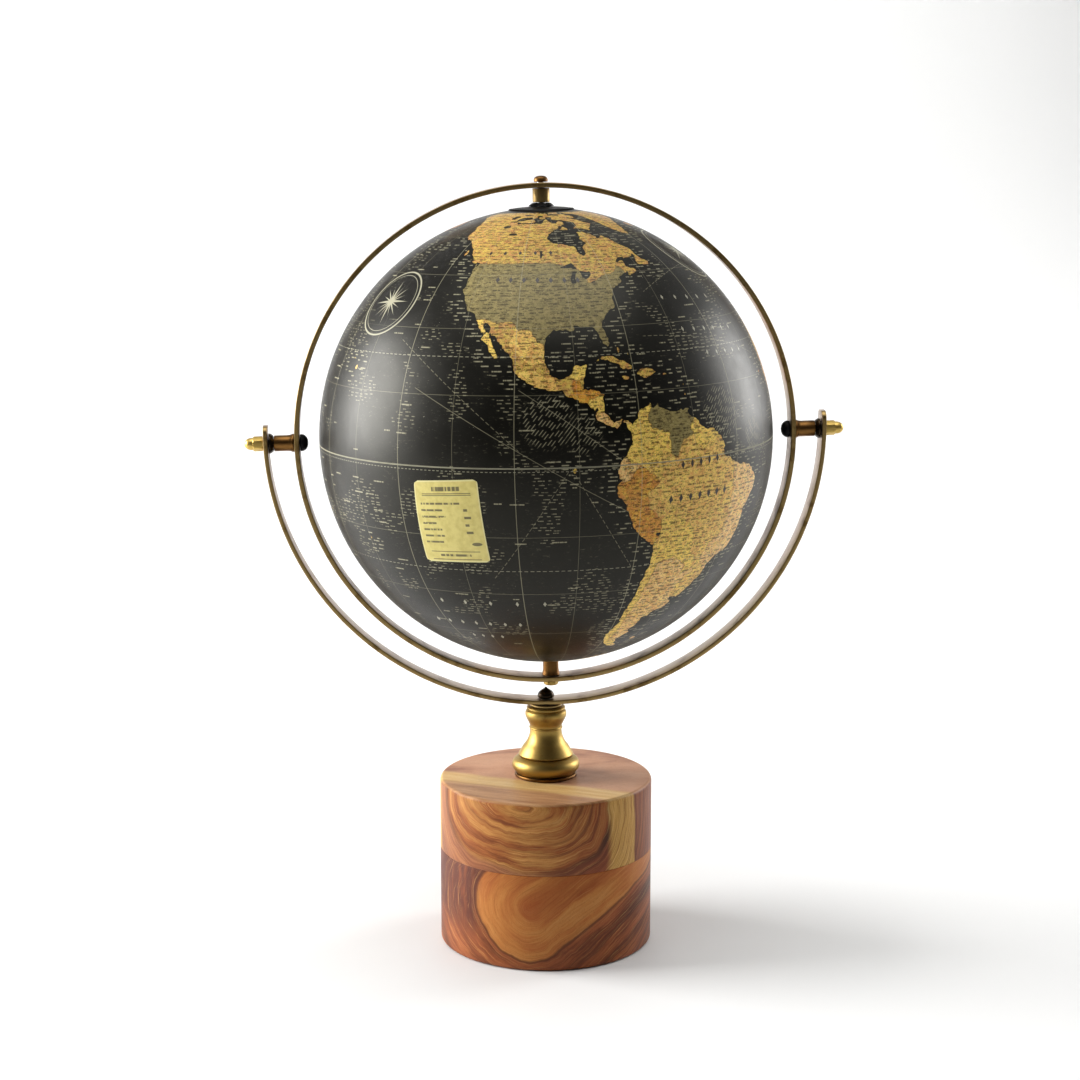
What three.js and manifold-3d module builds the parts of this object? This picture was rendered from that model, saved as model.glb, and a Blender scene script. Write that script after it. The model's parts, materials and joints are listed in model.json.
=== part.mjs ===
// Desktop globe on a stand: a ball spins on its pole rod inside a full meridian ring, and the ring
// tips end over end between the ears of a half-ring yoke, which is clamped on a turned stem and a
// round wooden base. Millimetres, +Z up, origin on the floor under the middle of the base. The
// pivot line runs along X, and the front of the object faces -Y.
import * as THREE from 'three';
import { mergeVertices } from 'three/addons/utils/BufferGeometryUtils.js';
import Module from 'manifold-3d';

const wasm = await Module();
wasm.setup();

// ---- driving dimensions -------------------------------------------------------------------------
const GAP = 0.3;                 // air between two pieces that touch
const PIVOT_HEIGHT = 265;        // centre of the ball, where the pivot line and the pole axis cross
const ROLL = 1.2 * Math.PI / 180; // the yoke is clamped this far round from level, right end up

const BALL_RADIUS = 114.5;       // a 9 inch ball
const BALL_WALL = 2.2;
const POLE_HOLE = 4.5;
const BAND_HEIGHT = 12;          // hoop inside the ball that joins its two halves
const BAND_THICKNESS = 1.5;

const STRAP_WIDTH = 13;          // both straps, front to back
const STRAP_CHAMFER = 0.4;
const RING_RADIUS = 126.9;       // outside of the meridian ring
const RING_THICKNESS = 2.5;
const YOKE_RADIUS = 142.5;       // outside of the half ring
const YOKE_THICKNESS = 2.2;
const YOKE_RISE = 3.5;           // centre of the half ring above the pivot line
const EAR_RISE = 9.3;            // tips of the ears above the pivot line
const EAR_CORNER = 4;

const SCREW_RADIUS = 2;          // pole rod and pivot screws
const SCREW_HOLE = 2.3;
const ROD_RADIUS = 3;            // tie rod through stem and base
const ROD_HOLE = 3.4;

const BASE_RADIUS = 55;
const BASE_HEIGHT = 87;
const SEAM_HEIGHT = 50;          // glue line between the two blocks of the base
const BASE_EDGE = 1.8;           // rounding of the top and bottom edges
const FLOOR_GAP = 0.2;           // wood clear of the table, so that the pad takes the weight
const PAD_RADIUS = 48;
const PAD_THICKNESS = 1.2;
const COUNTERBORE_RADIUS = 12;
const COUNTERBORE_TOP = 15;

const FOOT_WASHER = 1.5;         // under the stem
const STEM_TOP = 37.2;           // top of the turned stem above the base
const STEM_FOOT = FOOT_WASHER + 2 * GAP;

const SMALL = 16;                // facets round nuts, screws and washers
const MEDIUM = 28;               // round the stem
const LARGE = 52;                // round the base
const BALL_FACETS = 40;          // round the ball and the hoop inside it
const STRAP_FACETS = 72;         // round a whole strap ring

// ---- materials ----------------------------------------------------------------------------------
const material = (color, roughness, metalness) => () =>
  new THREE.MeshStandardMaterial({ color, roughness, metalness });
const antiqueBrass = material(0x7d6430, 0.42, 1);
const satinBrass = material(0xb8923f, 0.35, 1);
const brightBrass = material(0xcaa653, 0.28, 1);
const blackSteel = material(0x16130f, 0.35, 0.6);
const zincSteel = material(0x9a9a96, 0.4, 1);
const mapPaper = material(0x1d1c19, 0.35, 0);
const pulpBoard = material(0x9c8d73, 0.9, 0);
const nylon = material(0xd8d4c8, 0.6, 0);
const acacia = material(0xa9703f, 0.45, 0);
const felt = material(0x2b2a28, 0.95, 0);

// ---- solids -------------------------------------------------------------------------------------
function toSolid(geometry) {
  const bare = geometry.index ? geometry.toNonIndexed() : geometry.clone();
  bare.deleteAttribute('normal');
  bare.deleteAttribute('uv');
  const merged = mergeVertices(bare, 1e-4);
  return new wasm.Manifold(new wasm.Mesh({
    numProp: 3,
    vertProperties: new Float32Array(merged.attributes.position.array),
    triVerts: new Uint32Array(merged.index.array),
  }));
}

function toGeometry(solid) {
  const mesh = solid.getMesh();
  const geometry = new THREE.BufferGeometry();
  geometry.setAttribute('position', new THREE.BufferAttribute(mesh.vertProperties, 3));
  geometry.setIndex(new THREE.BufferAttribute(mesh.triVerts, 1));
  return geometry;
}

const cut = (geometry, ...tools) =>
  toGeometry(tools.reduce((solid, tool) => solid.subtract(toSolid(tool)), toSolid(geometry)));
const join = (first, second) => toGeometry(toSolid(first).add(toSolid(second)));
const common = (first, second) => toGeometry(toSolid(first).intersect(toSolid(second)));

// A solid turned round Z from [radius, z] points, listed from the bottom outside edge upwards. A
// profile that stays off the axis is closed on itself.
function turned(points, facets) {
  const profile = points.map(([radius, z]) => new THREE.Vector2(radius, z));
  const offAxis = points[0][0] > 0;
  if (offAxis) profile.push(profile[0].clone());
  return new THREE.LatheGeometry(profile, facets).rotateX(Math.PI / 2);
}

const tube = (inner, outer, low, high, facets) =>
  turned([[inner, low], [outer, low], [outer, high], [inner, high]], facets);

function rod(radius, low, high, facets = SMALL) {
  return turned([[0, low], [radius, low], [radius, high], [0, high]], facets);
}

function hexPrism(acrossFlats, low, high) {
  const corner = acrossFlats / Math.sqrt(3);
  return new THREE.CylinderGeometry(corner, corner, high - low, 6)
    .rotateX(Math.PI / 2).translate(0, 0, (low + high) / 2);
}

// Points along an arc of a circle in the profile plane, angles in degrees from the radius axis.
function arc(centreRadius, centreZ, radius, from, to, steps) {
  return Array.from({ length: steps + 1 }, (_, step) => {
    const angle = (from + (to - from) * step / steps) * Math.PI / 180;
    return [centreRadius + radius * Math.cos(angle), centreZ + radius * Math.sin(angle)];
  });
}

// A flat strap bent into a whole ring that stands upright, its axis along Y.
function strapRing(outer, thickness) {
  const half = STRAP_WIDTH / 2;
  const inner = outer - thickness;
  const c = STRAP_CHAMFER;
  const section = [
    [inner + c, -half], [outer - c, -half], [outer, c - half], [outer, half - c],
    [outer - c, half], [inner + c, half], [inner, half - c], [inner, c - half],
  ];
  return turned(section, STRAP_FACETS).rotateX(Math.PI / 2);
}

// ---- the object ---------------------------------------------------------------------------------
const globe = new THREE.Group();

function add(parent, name, geometry, makeMaterial) {
  const mesh = new THREE.Mesh(geometry, makeMaterial());
  mesh.name = name;
  parent.add(mesh);
}

// The wooden base is two round blocks glued one on the other, bored right through for the tie rod.
function addBase() {
  const edge = BASE_EDGE;
  const lower = turned([
    [PAD_RADIUS + GAP, FLOOR_GAP],
    ...arc(BASE_RADIUS - edge, FLOOR_GAP + edge, edge, -90, 0, 3),
    [BASE_RADIUS, SEAM_HEIGHT - GAP], [ROD_HOLE, SEAM_HEIGHT - GAP],
    [ROD_HOLE, COUNTERBORE_TOP], [COUNTERBORE_RADIUS, COUNTERBORE_TOP],
    [COUNTERBORE_RADIUS, PAD_THICKNESS + GAP], [PAD_RADIUS + GAP, PAD_THICKNESS + GAP],
  ], LARGE);
  const upper = turned([
    [ROD_HOLE, SEAM_HEIGHT], [BASE_RADIUS, SEAM_HEIGHT],
    ...arc(BASE_RADIUS - edge, BASE_HEIGHT - edge, edge, 0, 90, 3),
    [ROD_HOLE, BASE_HEIGHT],
  ], LARGE);
  add(globe, 'base_lower_block', lower, acacia);
  add(globe, 'base_upper_block', upper, acacia);
  add(globe, 'base_pad', rod(PAD_RADIUS, 0, PAD_THICKNESS, LARGE), felt);
}

// The tie rod pulls the yoke, stem and base together between a hex nut and an acorn nut.
function addTieRod(yokeBottom) {
  const washerTop = COUNTERBORE_TOP - GAP;
  const washerLow = washerTop - 1.2;
  const nutTop = washerLow - GAP;
  const nutHeight = 5;
  const acornLow = yokeBottom + YOKE_THICKNESS + GAP;
  add(globe, 'base_washer', tube(ROD_HOLE, 9, washerLow, washerTop, SMALL), zincSteel);
  add(globe, 'base_nut', cut(
    hexPrism(10, nutTop - nutHeight, nutTop),
    rod(ROD_RADIUS + GAP, 0, nutTop + 1),
  ), zincSteel);
  add(globe, 'tie_rod', rod(ROD_RADIUS, nutTop - nutHeight - 1.5, acornLow + 2.6), zincSteel);
  const acorn = turned([
    [0, 0], [3.9, 0], [4.3, 0.8], [4.2, 2], [3.4, 3.2], [2.1, 4.2], [0.9, 5], [0, 5.8],
  ].map(([radius, z]) => [radius, acornLow + z]), SMALL);
  add(globe, 'acorn_nut', cut(acorn, rod(ROD_RADIUS + GAP, acornLow - 1, acornLow + 2.9)), blackSteel);
}

// Turned stem: a rolled foot, a hollow skirt up to a waist with one fine bead, and a round collar.
function addStem(yokeBottom) {
  const outline = [
    [15.4, 0], ...arc(13.5, 4.2, 4.1, -50, 58, 5), [14.5, 8.5],
    [14.2, 10], [12.2, 13.4], [10, 16.3], [8.7, 19], [8.2, 21.5],
    [8.2, 23.2], [8.6, 23.7], [8.3, 24.2], [8.6, 26.2], [9.5, 28.4],
    [10.4, 30.6], [10.6, 32.2], [10.3, 33.9], [9.6, STEM_TOP - STEM_FOOT],
  ];
  const low = BASE_HEIGHT + STEM_FOOT;
  const stem = turned([
    [ROD_HOLE, low], ...outline.map(([radius, z]) => [radius, low + z]),
    [ROD_HOLE, BASE_HEIGHT + STEM_TOP],
  ], MEDIUM);
  add(globe, 'foot_washer',
    tube(ROD_HOLE, 16.2, BASE_HEIGHT + GAP, BASE_HEIGHT + GAP + FOOT_WASHER, MEDIUM), brightBrass);
  add(globe, 'stem', stem, satinBrass);
  add(globe, 'saddle_washer',
    tube(ROD_HOLE, 8.4, BASE_HEIGHT + STEM_TOP + GAP, yokeBottom - GAP, SMALL), antiqueBrass);
}

// Half ring with round-cornered ears, drilled for the pivot screws and, off its middle by the
// roll, for the tie rod.
function addYoke(gimbal) {
  const half = STRAP_WIDTH / 2;
  const reach = YOKE_RADIUS + 10;
  const outline = new THREE.Shape();
  outline.moveTo(-half, -reach);
  outline.lineTo(half, -reach);
  outline.lineTo(half, EAR_RISE - EAR_CORNER);
  outline.absarc(half - EAR_CORNER, EAR_RISE - EAR_CORNER, EAR_CORNER, 0, Math.PI / 2);
  outline.absarc(EAR_CORNER - half, EAR_RISE - EAR_CORNER, EAR_CORNER, Math.PI / 2, Math.PI);
  outline.closePath();
  const keep = new THREE.ExtrudeGeometry(outline, { depth: 2 * reach, bevelEnabled: false, curveSegments: 4 })
    .rotateX(Math.PI / 2).rotateZ(Math.PI / 2).translate(-reach, 0, 0);
  const whole = strapRing(YOKE_RADIUS, YOKE_THICKNESS).translate(0, 0, YOKE_RISE);
  const pivotDrill = rod(SCREW_HOLE, -reach, reach).rotateY(Math.PI / 2);
  const stemDrill = rod(ROD_HOLE, -reach, 0).rotateY(ROLL);
  add(gimbal, 'yoke', cut(common(whole, keep), pivotDrill, stemDrill), antiqueBrass);
}

function addRing(gimbal) {
  const reach = RING_RADIUS + 10;
  const poleDrill = rod(SCREW_HOLE, -reach, reach);
  const pivotDrill = poleDrill.clone().rotateY(Math.PI / 2);
  add(gimbal, 'meridian_ring',
    cut(strapRing(RING_RADIUS, RING_THICKNESS), poleDrill, pivotDrill), antiqueBrass);
}

function domeNut(radius, low, height, boreDepth) {
  const dome = turned([
    [0, low], [radius, low], [radius, low + 0.35 * height],
    [0.86 * radius, low + 0.72 * height], [0.5 * radius, low + 0.93 * height], [0, low + height],
  ], SMALL);
  return cut(dome, rod(SCREW_HOLE, low - 1, low + boreDepth));
}

// One pivot, built along +Z from the middle of the ball: a round-headed screw from inside the
// ring, a flanged spacer, a tapered washer against the ear, and a hexagonal cap nut outside it.
function addPivot(gimbal, side, turn) {
  const pivot = new THREE.Group();
  pivot.rotation.y = turn;
  gimbal.add(pivot);
  const headLow = RING_RADIUS - RING_THICKNESS - GAP;
  const earOutside = Math.sqrt(YOKE_RADIUS ** 2 - YOKE_RISE ** 2);
  const washerTop = earOutside - YOKE_THICKNESS - 1.5 * GAP;
  const washerLow = washerTop - 2.3;
  const spacerLow = RING_RADIUS + GAP;
  const spacerTop = washerLow - GAP;
  const nutLow = earOutside + GAP;
  const screwEnd = nutLow + 5.5;
  const screw = turned([
    [0, headLow - 4], [2.2, headLow - 3.6], [3.7, headLow - 2.4], [4.3, headLow - 0.8],
    [4.2, headLow], [SCREW_RADIUS, headLow], [SCREW_RADIUS, screwEnd], [0, screwEnd],
  ], SMALL);
  const spacer = turned([
    [SCREW_HOLE, spacerLow], [4.6, spacerLow], [4.4, spacerLow + 0.9], [3.6, spacerLow + 2.2],
    [3.6, spacerTop], [SCREW_HOLE, spacerTop],
  ], SMALL);
  const washer = turned([
    [SCREW_HOLE, washerLow], [4.2, washerLow], [5.4, washerTop - 0.8], [5.4, washerTop],
    [SCREW_HOLE, washerTop],
  ], SMALL);
  const cap = turned([
    [0, nutLow + 2], [3.1, nutLow + 2], [3.1, nutLow + 6.2], [2.6, nutLow + 7.8],
    [1.5, nutLow + 9], [0, nutLow + 9.5],
  ], SMALL);
  const capNut = cut(join(hexPrism(6.6, nutLow, nutLow + 5), cap),
    rod(SCREW_HOLE, nutLow - 1, screwEnd + 0.4));
  add(pivot, `pivot_screw_${side}`, screw, blackSteel);
  add(pivot, `pivot_spacer_${side}`, spacer, antiqueBrass);
  add(pivot, `pivot_washer_${side}`, washer, blackSteel);
  add(pivot, `cap_nut_${side}`, capNut, brightBrass);
}

// The pole rod is fixed in the ring between two nuts, and carries a spacer at each end.
function addPoleRod(gimbal) {
  const insideRing = RING_RADIUS - RING_THICKNESS - GAP;
  const outsideRing = RING_RADIUS + GAP;
  const flip = Math.PI;
  const southSpacer = turned([
    [SCREW_HOLE, BALL_RADIUS + 1.6], [4, BALL_RADIUS + 1.6], [4.1, insideRing - 3],
    [4.7, insideRing], [SCREW_HOLE, insideRing],
  ], SMALL).rotateX(flip);
  const southNut = cut(hexPrism(6.6, outsideRing, outsideRing + 2.4),
    rod(SCREW_HOLE, outsideRing - 1, outsideRing + 1.6)).rotateX(flip);
  add(gimbal, 'pole_rod', rod(SCREW_RADIUS, -outsideRing - 1.3, outsideRing + 1.8), zincSteel);
  add(gimbal, 'north_nut', domeNut(3.5, outsideRing, 3.1, 2.1), satinBrass);
  add(gimbal, 'north_spacer', tube(SCREW_HOLE, 4.15, BALL_RADIUS + 4.2, insideRing, SMALL), antiqueBrass);
  add(gimbal, 'south_spacer', southSpacer, antiqueBrass);
  add(gimbal, 'south_nut', southNut, satinBrass);
}

// Northern half of the hollow ball, open at the pole. The southern half is the same one upside down.
function halfShell() {
  const inner = BALL_RADIUS - BALL_WALL;
  const angle = (radius, offset) => Math.asin(offset / radius) * 180 / Math.PI;
  return turned([
    ...arc(0, 0, BALL_RADIUS, angle(BALL_RADIUS, GAP / 2), 90 - angle(BALL_RADIUS, POLE_HOLE), 12),
    ...arc(0, 0, inner, 90 - angle(inner, POLE_HOLE), angle(inner, GAP / 2), 12),
  ], BALL_FACETS);
}

// Flanged bush, glued inside the pole hole.
function bush() {
  const flangeTop = Math.sqrt((BALL_RADIUS - BALL_WALL) ** 2 - 9 ** 2) - GAP;
  const top = BALL_RADIUS - GAP;
  return turned([
    [SCREW_HOLE, flangeTop - 4], [5, flangeTop - 4], [5, flangeTop - 1.4], [9, flangeTop - 1.4],
    [9, flangeTop], [POLE_HOLE - GAP, flangeTop], [POLE_HOLE - GAP, top], [SCREW_HOLE, top],
  ], SMALL);
}

function addBall(gimbal) {
  const flip = Math.PI;
  const bandRadius = Math.sqrt((BALL_RADIUS - BALL_WALL) ** 2 - (BAND_HEIGHT / 2) ** 2) - 2 * GAP;
  const band = tube(bandRadius - BAND_THICKNESS, bandRadius, -BAND_HEIGHT / 2, BAND_HEIGHT / 2, BALL_FACETS);
  const northCollar = turned([
    [SCREW_HOLE, BALL_RADIUS + GAP], [6.4, BALL_RADIUS + GAP], [6.2, BALL_RADIUS + 1.1],
    [4.5, BALL_RADIUS + 3.9], [SCREW_HOLE, BALL_RADIUS + 3.9],
  ], SMALL);
  const southCollar = tube(SCREW_HOLE, 4.6, BALL_RADIUS + GAP, BALL_RADIUS + 1.3, SMALL).rotateX(flip);
  add(gimbal, 'north_half', halfShell(), mapPaper);
  add(gimbal, 'south_half', halfShell().rotateX(flip), mapPaper);
  add(gimbal, 'equator_band', band, pulpBoard);
  add(gimbal, 'north_bush', bush(), nylon);
  add(gimbal, 'south_bush', bush().rotateX(flip), nylon);
  add(gimbal, 'north_collar', northCollar, blackSteel);
  add(gimbal, 'south_collar', southCollar, blackSteel);
}

const gimbal = new THREE.Group();
gimbal.position.z = PIVOT_HEIGHT;
gimbal.rotation.y = -ROLL;
globe.add(gimbal);
const yokeBottom = PIVOT_HEIGHT + YOKE_RISE - YOKE_RADIUS;

addBase();
addTieRod(yokeBottom);
addStem(yokeBottom);
addYoke(gimbal);
addRing(gimbal);
addPivot(gimbal, 'right', Math.PI / 2);
addPivot(gimbal, 'left', -Math.PI / 2);
addPoleRod(gimbal);
addBall(gimbal);

export default globe;
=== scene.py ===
import json
import math

import bmesh
import bpy
import numpy as np
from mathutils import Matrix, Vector, kdtree, noise


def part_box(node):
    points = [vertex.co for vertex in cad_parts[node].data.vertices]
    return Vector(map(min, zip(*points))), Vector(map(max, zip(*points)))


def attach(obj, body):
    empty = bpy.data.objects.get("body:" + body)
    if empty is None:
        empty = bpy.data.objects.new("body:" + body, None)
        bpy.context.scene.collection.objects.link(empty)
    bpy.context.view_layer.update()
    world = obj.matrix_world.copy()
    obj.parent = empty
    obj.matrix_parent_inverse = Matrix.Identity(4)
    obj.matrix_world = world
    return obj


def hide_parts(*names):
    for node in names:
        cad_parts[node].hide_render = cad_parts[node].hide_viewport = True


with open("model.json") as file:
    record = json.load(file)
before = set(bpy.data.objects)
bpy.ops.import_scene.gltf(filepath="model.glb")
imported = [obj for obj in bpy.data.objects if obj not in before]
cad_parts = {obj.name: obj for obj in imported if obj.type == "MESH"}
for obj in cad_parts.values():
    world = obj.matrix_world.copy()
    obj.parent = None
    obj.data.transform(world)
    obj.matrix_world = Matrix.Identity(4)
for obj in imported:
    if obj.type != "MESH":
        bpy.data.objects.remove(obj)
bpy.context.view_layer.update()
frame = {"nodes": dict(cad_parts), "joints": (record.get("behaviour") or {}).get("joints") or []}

# ---- places and sizes in metres: from the frame, and the straps' own driving sizes -----------------
MM = 0.001
JOINTS = {joint["name"]: joint for joint in frame["joints"]}
CENTRE = Vector(JOINTS["ring_tilt"]["pos_m"])
PIVOT_AXIS = Vector(JOINTS["ring_tilt"]["axis"]).normalized()
POLE_AXIS = Vector(JOINTS["globe_spin"]["axis"]).normalized()
FRONT = Vector((0, -1, 0))


def span(node, axis):
    """Lowest and highest place of a CAD node along an axis of the frame."""
    low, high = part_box(node)
    return low[axis], high[axis]


BALL_RADIUS = (span("north_half", 1)[1] - span("north_half", 1)[0]) / 2
STRAP_WIDTH = span("meridian_ring", 1)[1] - span("meridian_ring", 1)[0]
RING_RADIUS = 126.9 * MM
RING_THICKNESS = 2.5 * MM
YOKE_RADIUS = 142.5 * MM
YOKE_THICKNESS = 2.2 * MM
YOKE_RISE = 3.5 * MM
EAR_RISE = 9.3 * MM
STRAP_EDGE = 0.45 * MM
DRILL_REACH = 8 * MM
SHELL_THICKNESS = 2.2 * MM
BASE_RADIUS = (span("base_lower_block", 0)[1] - span("base_lower_block", 0)[0]) / 2
BASE_TOP = span("base_upper_block", 2)[1]
SEAM = span("base_upper_block", 2)[0]
BASE_BOTTOM = span("base_lower_block", 2)[0]
# In millimetres, like all outlines: bore radii for screws and tie rod, a nut across its flats, a washer,
# and the gap between neighbours on a rod.
PIVOT_BORE = 2.3
ROD_BORE = 3.4
HEX_FLATS = 6.6
WASHER_THICKNESS = 2.3
STACK_GAP = 0.3
HEX_CORNER = HEX_FLATS / math.sqrt(3)


# ---- building material node trees ----------------------------------------------------------------
def srgb(red, green, blue):
    """A colour given in 0-255 screen values, as the linear RGBA that sockets take."""
    def linear(value):
        share = value / 255
        return share / 12.92 if share <= 0.04045 else ((share + 0.055) / 1.055) ** 2.4
    return (linear(red), linear(green), linear(blue), 1.0)


class Value:
    """A node's output in one material. Arithmetic on it adds Math nodes."""

    def __init__(self, finish, socket):
        self.finish = finish
        self.socket = socket

    def __add__(self, other):
        return self.finish.math("ADD", self, other)

    def __sub__(self, other):
        return self.finish.math("SUBTRACT", self, other)

    def __rsub__(self, other):
        return self.finish.math("SUBTRACT", other, self)

    def __mul__(self, other):
        return self.finish.math("MULTIPLY", self, other)

    def __truediv__(self, other):
        return self.finish.math("DIVIDE", self, other)

    def __mod__(self, other):
        return self.finish.math("MODULO", self, other)

    def __abs__(self):
        return self.finish.math("ABSOLUTE", self)


def floor(value):
    return value.finish.math("FLOOR", value)


def fraction(value):
    return value.finish.math("FRACT", value)


def cosine(value):
    return value.finish.math("COSINE", value)


def larger(first, second):
    return first.finish.math("MAXIMUM", first, second)


def smaller(first, second):
    return first.finish.math("MINIMUM", first, second)


class Finish:
    """A material with one Principled shader, and short calls for the nodes that drive it."""

    def __init__(self, name, **values):
        self.material = bpy.data.materials.new(name)
        self.material.use_nodes = True
        self.tree = self.material.node_tree
        self.tree.nodes.clear()
        self.shader = self.add("ShaderNodeBsdfPrincipled")
        output = self.add("ShaderNodeOutputMaterial")
        self.tree.links.new(self.shader.outputs[0], output.inputs["Surface"])
        for socket, value in values.items():
            self.set(socket, value)

    def add(self, kind, **settings):
        node = self.tree.nodes.new(kind)
        for key, value in settings.items():
            setattr(node, key, value)
        return node

    def put(self, socket, value):
        """Links a value to the socket, or sets the socket to a plain number or colour."""
        if isinstance(value, Value):
            self.tree.links.new(value.socket, socket)
        elif value is not None:
            socket.default_value = value

    def set(self, socket, value):
        self.put(self.shader.inputs[socket], value)

    def source(self, kind, output, **settings):
        """The named output of a new node that needs no input."""
        return Value(self, self.add(kind, **settings).outputs[output])

    def place(self):
        return self.source("ShaderNodeTexCoord", "Object")

    def attribute(self, name, output="Fac"):
        return self.source("ShaderNodeAttribute", output, attribute_name=name)

    def math(self, operation, *values):
        node = self.add("ShaderNodeMath", operation=operation)
        for socket, value in zip(node.inputs, values):
            self.put(socket, value)
        return Value(self, node.outputs[0])

    def vector(self, operation, first, second=None):
        node = self.add("ShaderNodeVectorMath", operation=operation)
        self.put(node.inputs[0], first)
        self.put(node.inputs[1], second)
        return Value(self, node.outputs["Value" if operation in ("DOT_PRODUCT", "LENGTH") else "Vector"])

    def dot(self, vector, direction):
        return self.vector("DOT_PRODUCT", vector, tuple(direction))

    def combine(self, x, y, z=0.0):
        node = self.add("ShaderNodeCombineXYZ")
        for socket, value in zip(node.inputs, (x, y, z)):
            self.put(socket, value)
        return Value(self, node.outputs[0])

    def split(self, vector):
        node = self.add("ShaderNodeSeparateXYZ")
        self.put(node.inputs[0], vector)
        return [Value(self, output) for output in node.outputs]

    def noise(self, vector, scale, detail=3.0, roughness=0.55, distortion=0.0):
        node = self.add("ShaderNodeTexNoise")
        self.put(node.inputs["Vector"], vector)
        node.inputs["Scale"].default_value = scale
        node.inputs["Detail"].default_value = detail
        node.inputs["Roughness"].default_value = roughness
        node.inputs["Distortion"].default_value = distortion
        return Value(self, node.outputs["Fac"])

    def random(self, vector):
        node = self.add("ShaderNodeTexWhiteNoise", noise_dimensions="3D")
        self.put(node.inputs["Vector"], vector)
        return Value(self, node.outputs["Value"])

    def cells(self, vector, scale):
        """A random colour for each cell of an irregular net."""
        node = self.add("ShaderNodeTexVoronoi")
        self.put(node.inputs["Vector"], vector)
        node.inputs["Scale"].default_value = scale
        return Value(self, node.outputs["Color"])

    def step(self, value, low, high, start=0.0, end=1.0):
        """Smooth change from start to end as value goes from low to high."""
        node = self.add("ShaderNodeMapRange", interpolation_type="SMOOTHSTEP")
        flip = low > high
        self.put(node.inputs["Value"], value)
        node.inputs["From Min"].default_value = min(low, high)
        node.inputs["From Max"].default_value = max(low, high)
        node.inputs["To Min"].default_value = end if flip else start
        node.inputs["To Max"].default_value = start if flip else end
        return Value(self, node.outputs[0])

    def mix(self, share, first, second):
        """Colour that goes from first to second as share goes from 0 to 1."""
        node = self.add("ShaderNodeMix", data_type="RGBA")
        share_socket, first_socket, second_socket = (node.inputs[index] for index in (0, 6, 7))
        self.put(share_socket, share)
        self.put(first_socket, first)
        self.put(second_socket, second)
        return Value(self, node.outputs[2])

    def ramp(self, value, *stops, interpolation="LINEAR"):
        """Colour that follows the (position, colour) stops."""
        node = self.add("ShaderNodeValToRGB")
        self.put(node.inputs[0], value)
        node.color_ramp.interpolation = interpolation
        elements = node.color_ramp.elements
        while len(elements) < len(stops):
            elements.new(0.5)
        for element, (position, colour) in zip(elements, stops):
            element.position = position
            element.color = colour
        return Value(self, node.outputs[0])

    def bump(self, height, strength, distance):
        node = self.add("ShaderNodeBump")
        node.inputs["Strength"].default_value = strength
        node.inputs["Distance"].default_value = distance
        self.put(node.inputs["Height"], height)
        self.set("Normal", Value(self, node.outputs[0]))


# ---- metals ------------------------------------------------------------------------------------
def brass(name, light, dark, roughness, patina, painted_sheen=0.0):
    """Brass with cloudy tarnish and fine polishing scratches. Patina is the share of dark metal.

    Painted sheen is the share of pale grey painted where the metal is seen at a shallow angle: a painted
    reflection.
    """
    finish = Finish(name, Metallic=1.0)
    place = finish.place()
    cloud = finish.noise(place, 90.0, 5.0, 0.6)
    speck = finish.noise(place, 900.0, 3.0, 0.6)
    tarnish = finish.step(cloud, 0.62 - patina * 0.4, 0.72 - patina * 0.2)
    colour = finish.mix(tarnish, light, dark)
    colour = finish.mix(finish.step(speck, 0.55, 0.75, 0.0, 0.35), colour, dark)
    # Painted reflection: pale grey is painted into the colour where the metal is seen at a shallow angle.
    if painted_sheen:
        facing = finish.source("ShaderNodeLayerWeight", "Facing")
        colour = finish.mix(finish.step(facing, 0.60, 0.86, 0.0, painted_sheen), colour, srgb(198, 184, 178))
    finish.set("Base Color", colour)
    scratch = finish.noise(finish.vector("MULTIPLY", place, (2200.0, 2200.0, 260.0)), 1.0, 2.0, 0.6)
    rough = tarnish * 0.12 + roughness
    rough = scratch * 0.10 + rough
    finish.set("Roughness", rough - 0.05)
    finish.bump(scratch + speck, 0.12, 0.00012)
    return finish.material


def dark_metal(name, colour, worn, roughness, metallic):
    """Blackened steel, a little browner where it is rubbed."""
    finish = Finish(name, Metallic=metallic)
    place = finish.place()
    rubbed = finish.step(finish.noise(place, 260.0, 4.0, 0.6), 0.52, 0.74, 0.0, 0.6)
    grain = finish.noise(place, 2600.0, 2.0, 0.6)
    finish.set("Base Color", finish.mix(rubbed, colour, worn))
    finish.set("Roughness", grain * 0.14 + (roughness - 0.07))
    finish.set("Specular IOR Level", 0.15)
    finish.bump(grain, 0.15, 0.0001)
    return finish.material


def plated_steel():
    """Zinc-plated steel with a faint spangle."""
    finish = Finish("zinc_steel_finish", Metallic=1.0)
    place = finish.place()
    spangle = finish.noise(place, 700.0, 3.0, 0.7)
    finish.set("Base Color", finish.ramp(spangle, (0.3, srgb(150, 150, 146)), (0.7, srgb(196, 196, 190))))
    finish.set("Roughness", spangle * 0.2 + 0.25)
    finish.bump(spangle, 0.1, 0.0001)
    return finish.material


# ---- other plain materials -----------------------------------------------------------------------
def felt_finish():
    finish = Finish("felt_finish", Roughness=0.95)
    place = finish.place()
    fibre = finish.noise(place, 1800.0, 4.0, 0.75, 1.5)
    finish.set("Base Color", finish.ramp(fibre, (0.3, srgb(22, 21, 20)), (0.75, srgb(62, 60, 57))))
    finish.bump(fibre, 0.6, 0.0004)
    return finish.material


def board_finish():
    finish = Finish("pulp_board_finish", Roughness=0.9)
    pulp = finish.noise(finish.place(), 500.0, 5.0, 0.7)
    finish.set("Base Color", finish.ramp(pulp, (0.3, srgb(120, 104, 80)), (0.7, srgb(176, 158, 126))))
    finish.bump(pulp, 0.4, 0.0003)
    return finish.material


def nylon_finish():
    finish = Finish("nylon_finish", Roughness=0.55)
    cloud = finish.noise(finish.place(), 300.0, 3.0, 0.5)
    finish.set("Base Color", finish.ramp(cloud, (0.3, srgb(214, 209, 194)), (0.7, srgb(232, 228, 216))))
    finish.bump(cloud, 0.1, 0.0002)
    return finish.material


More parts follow.
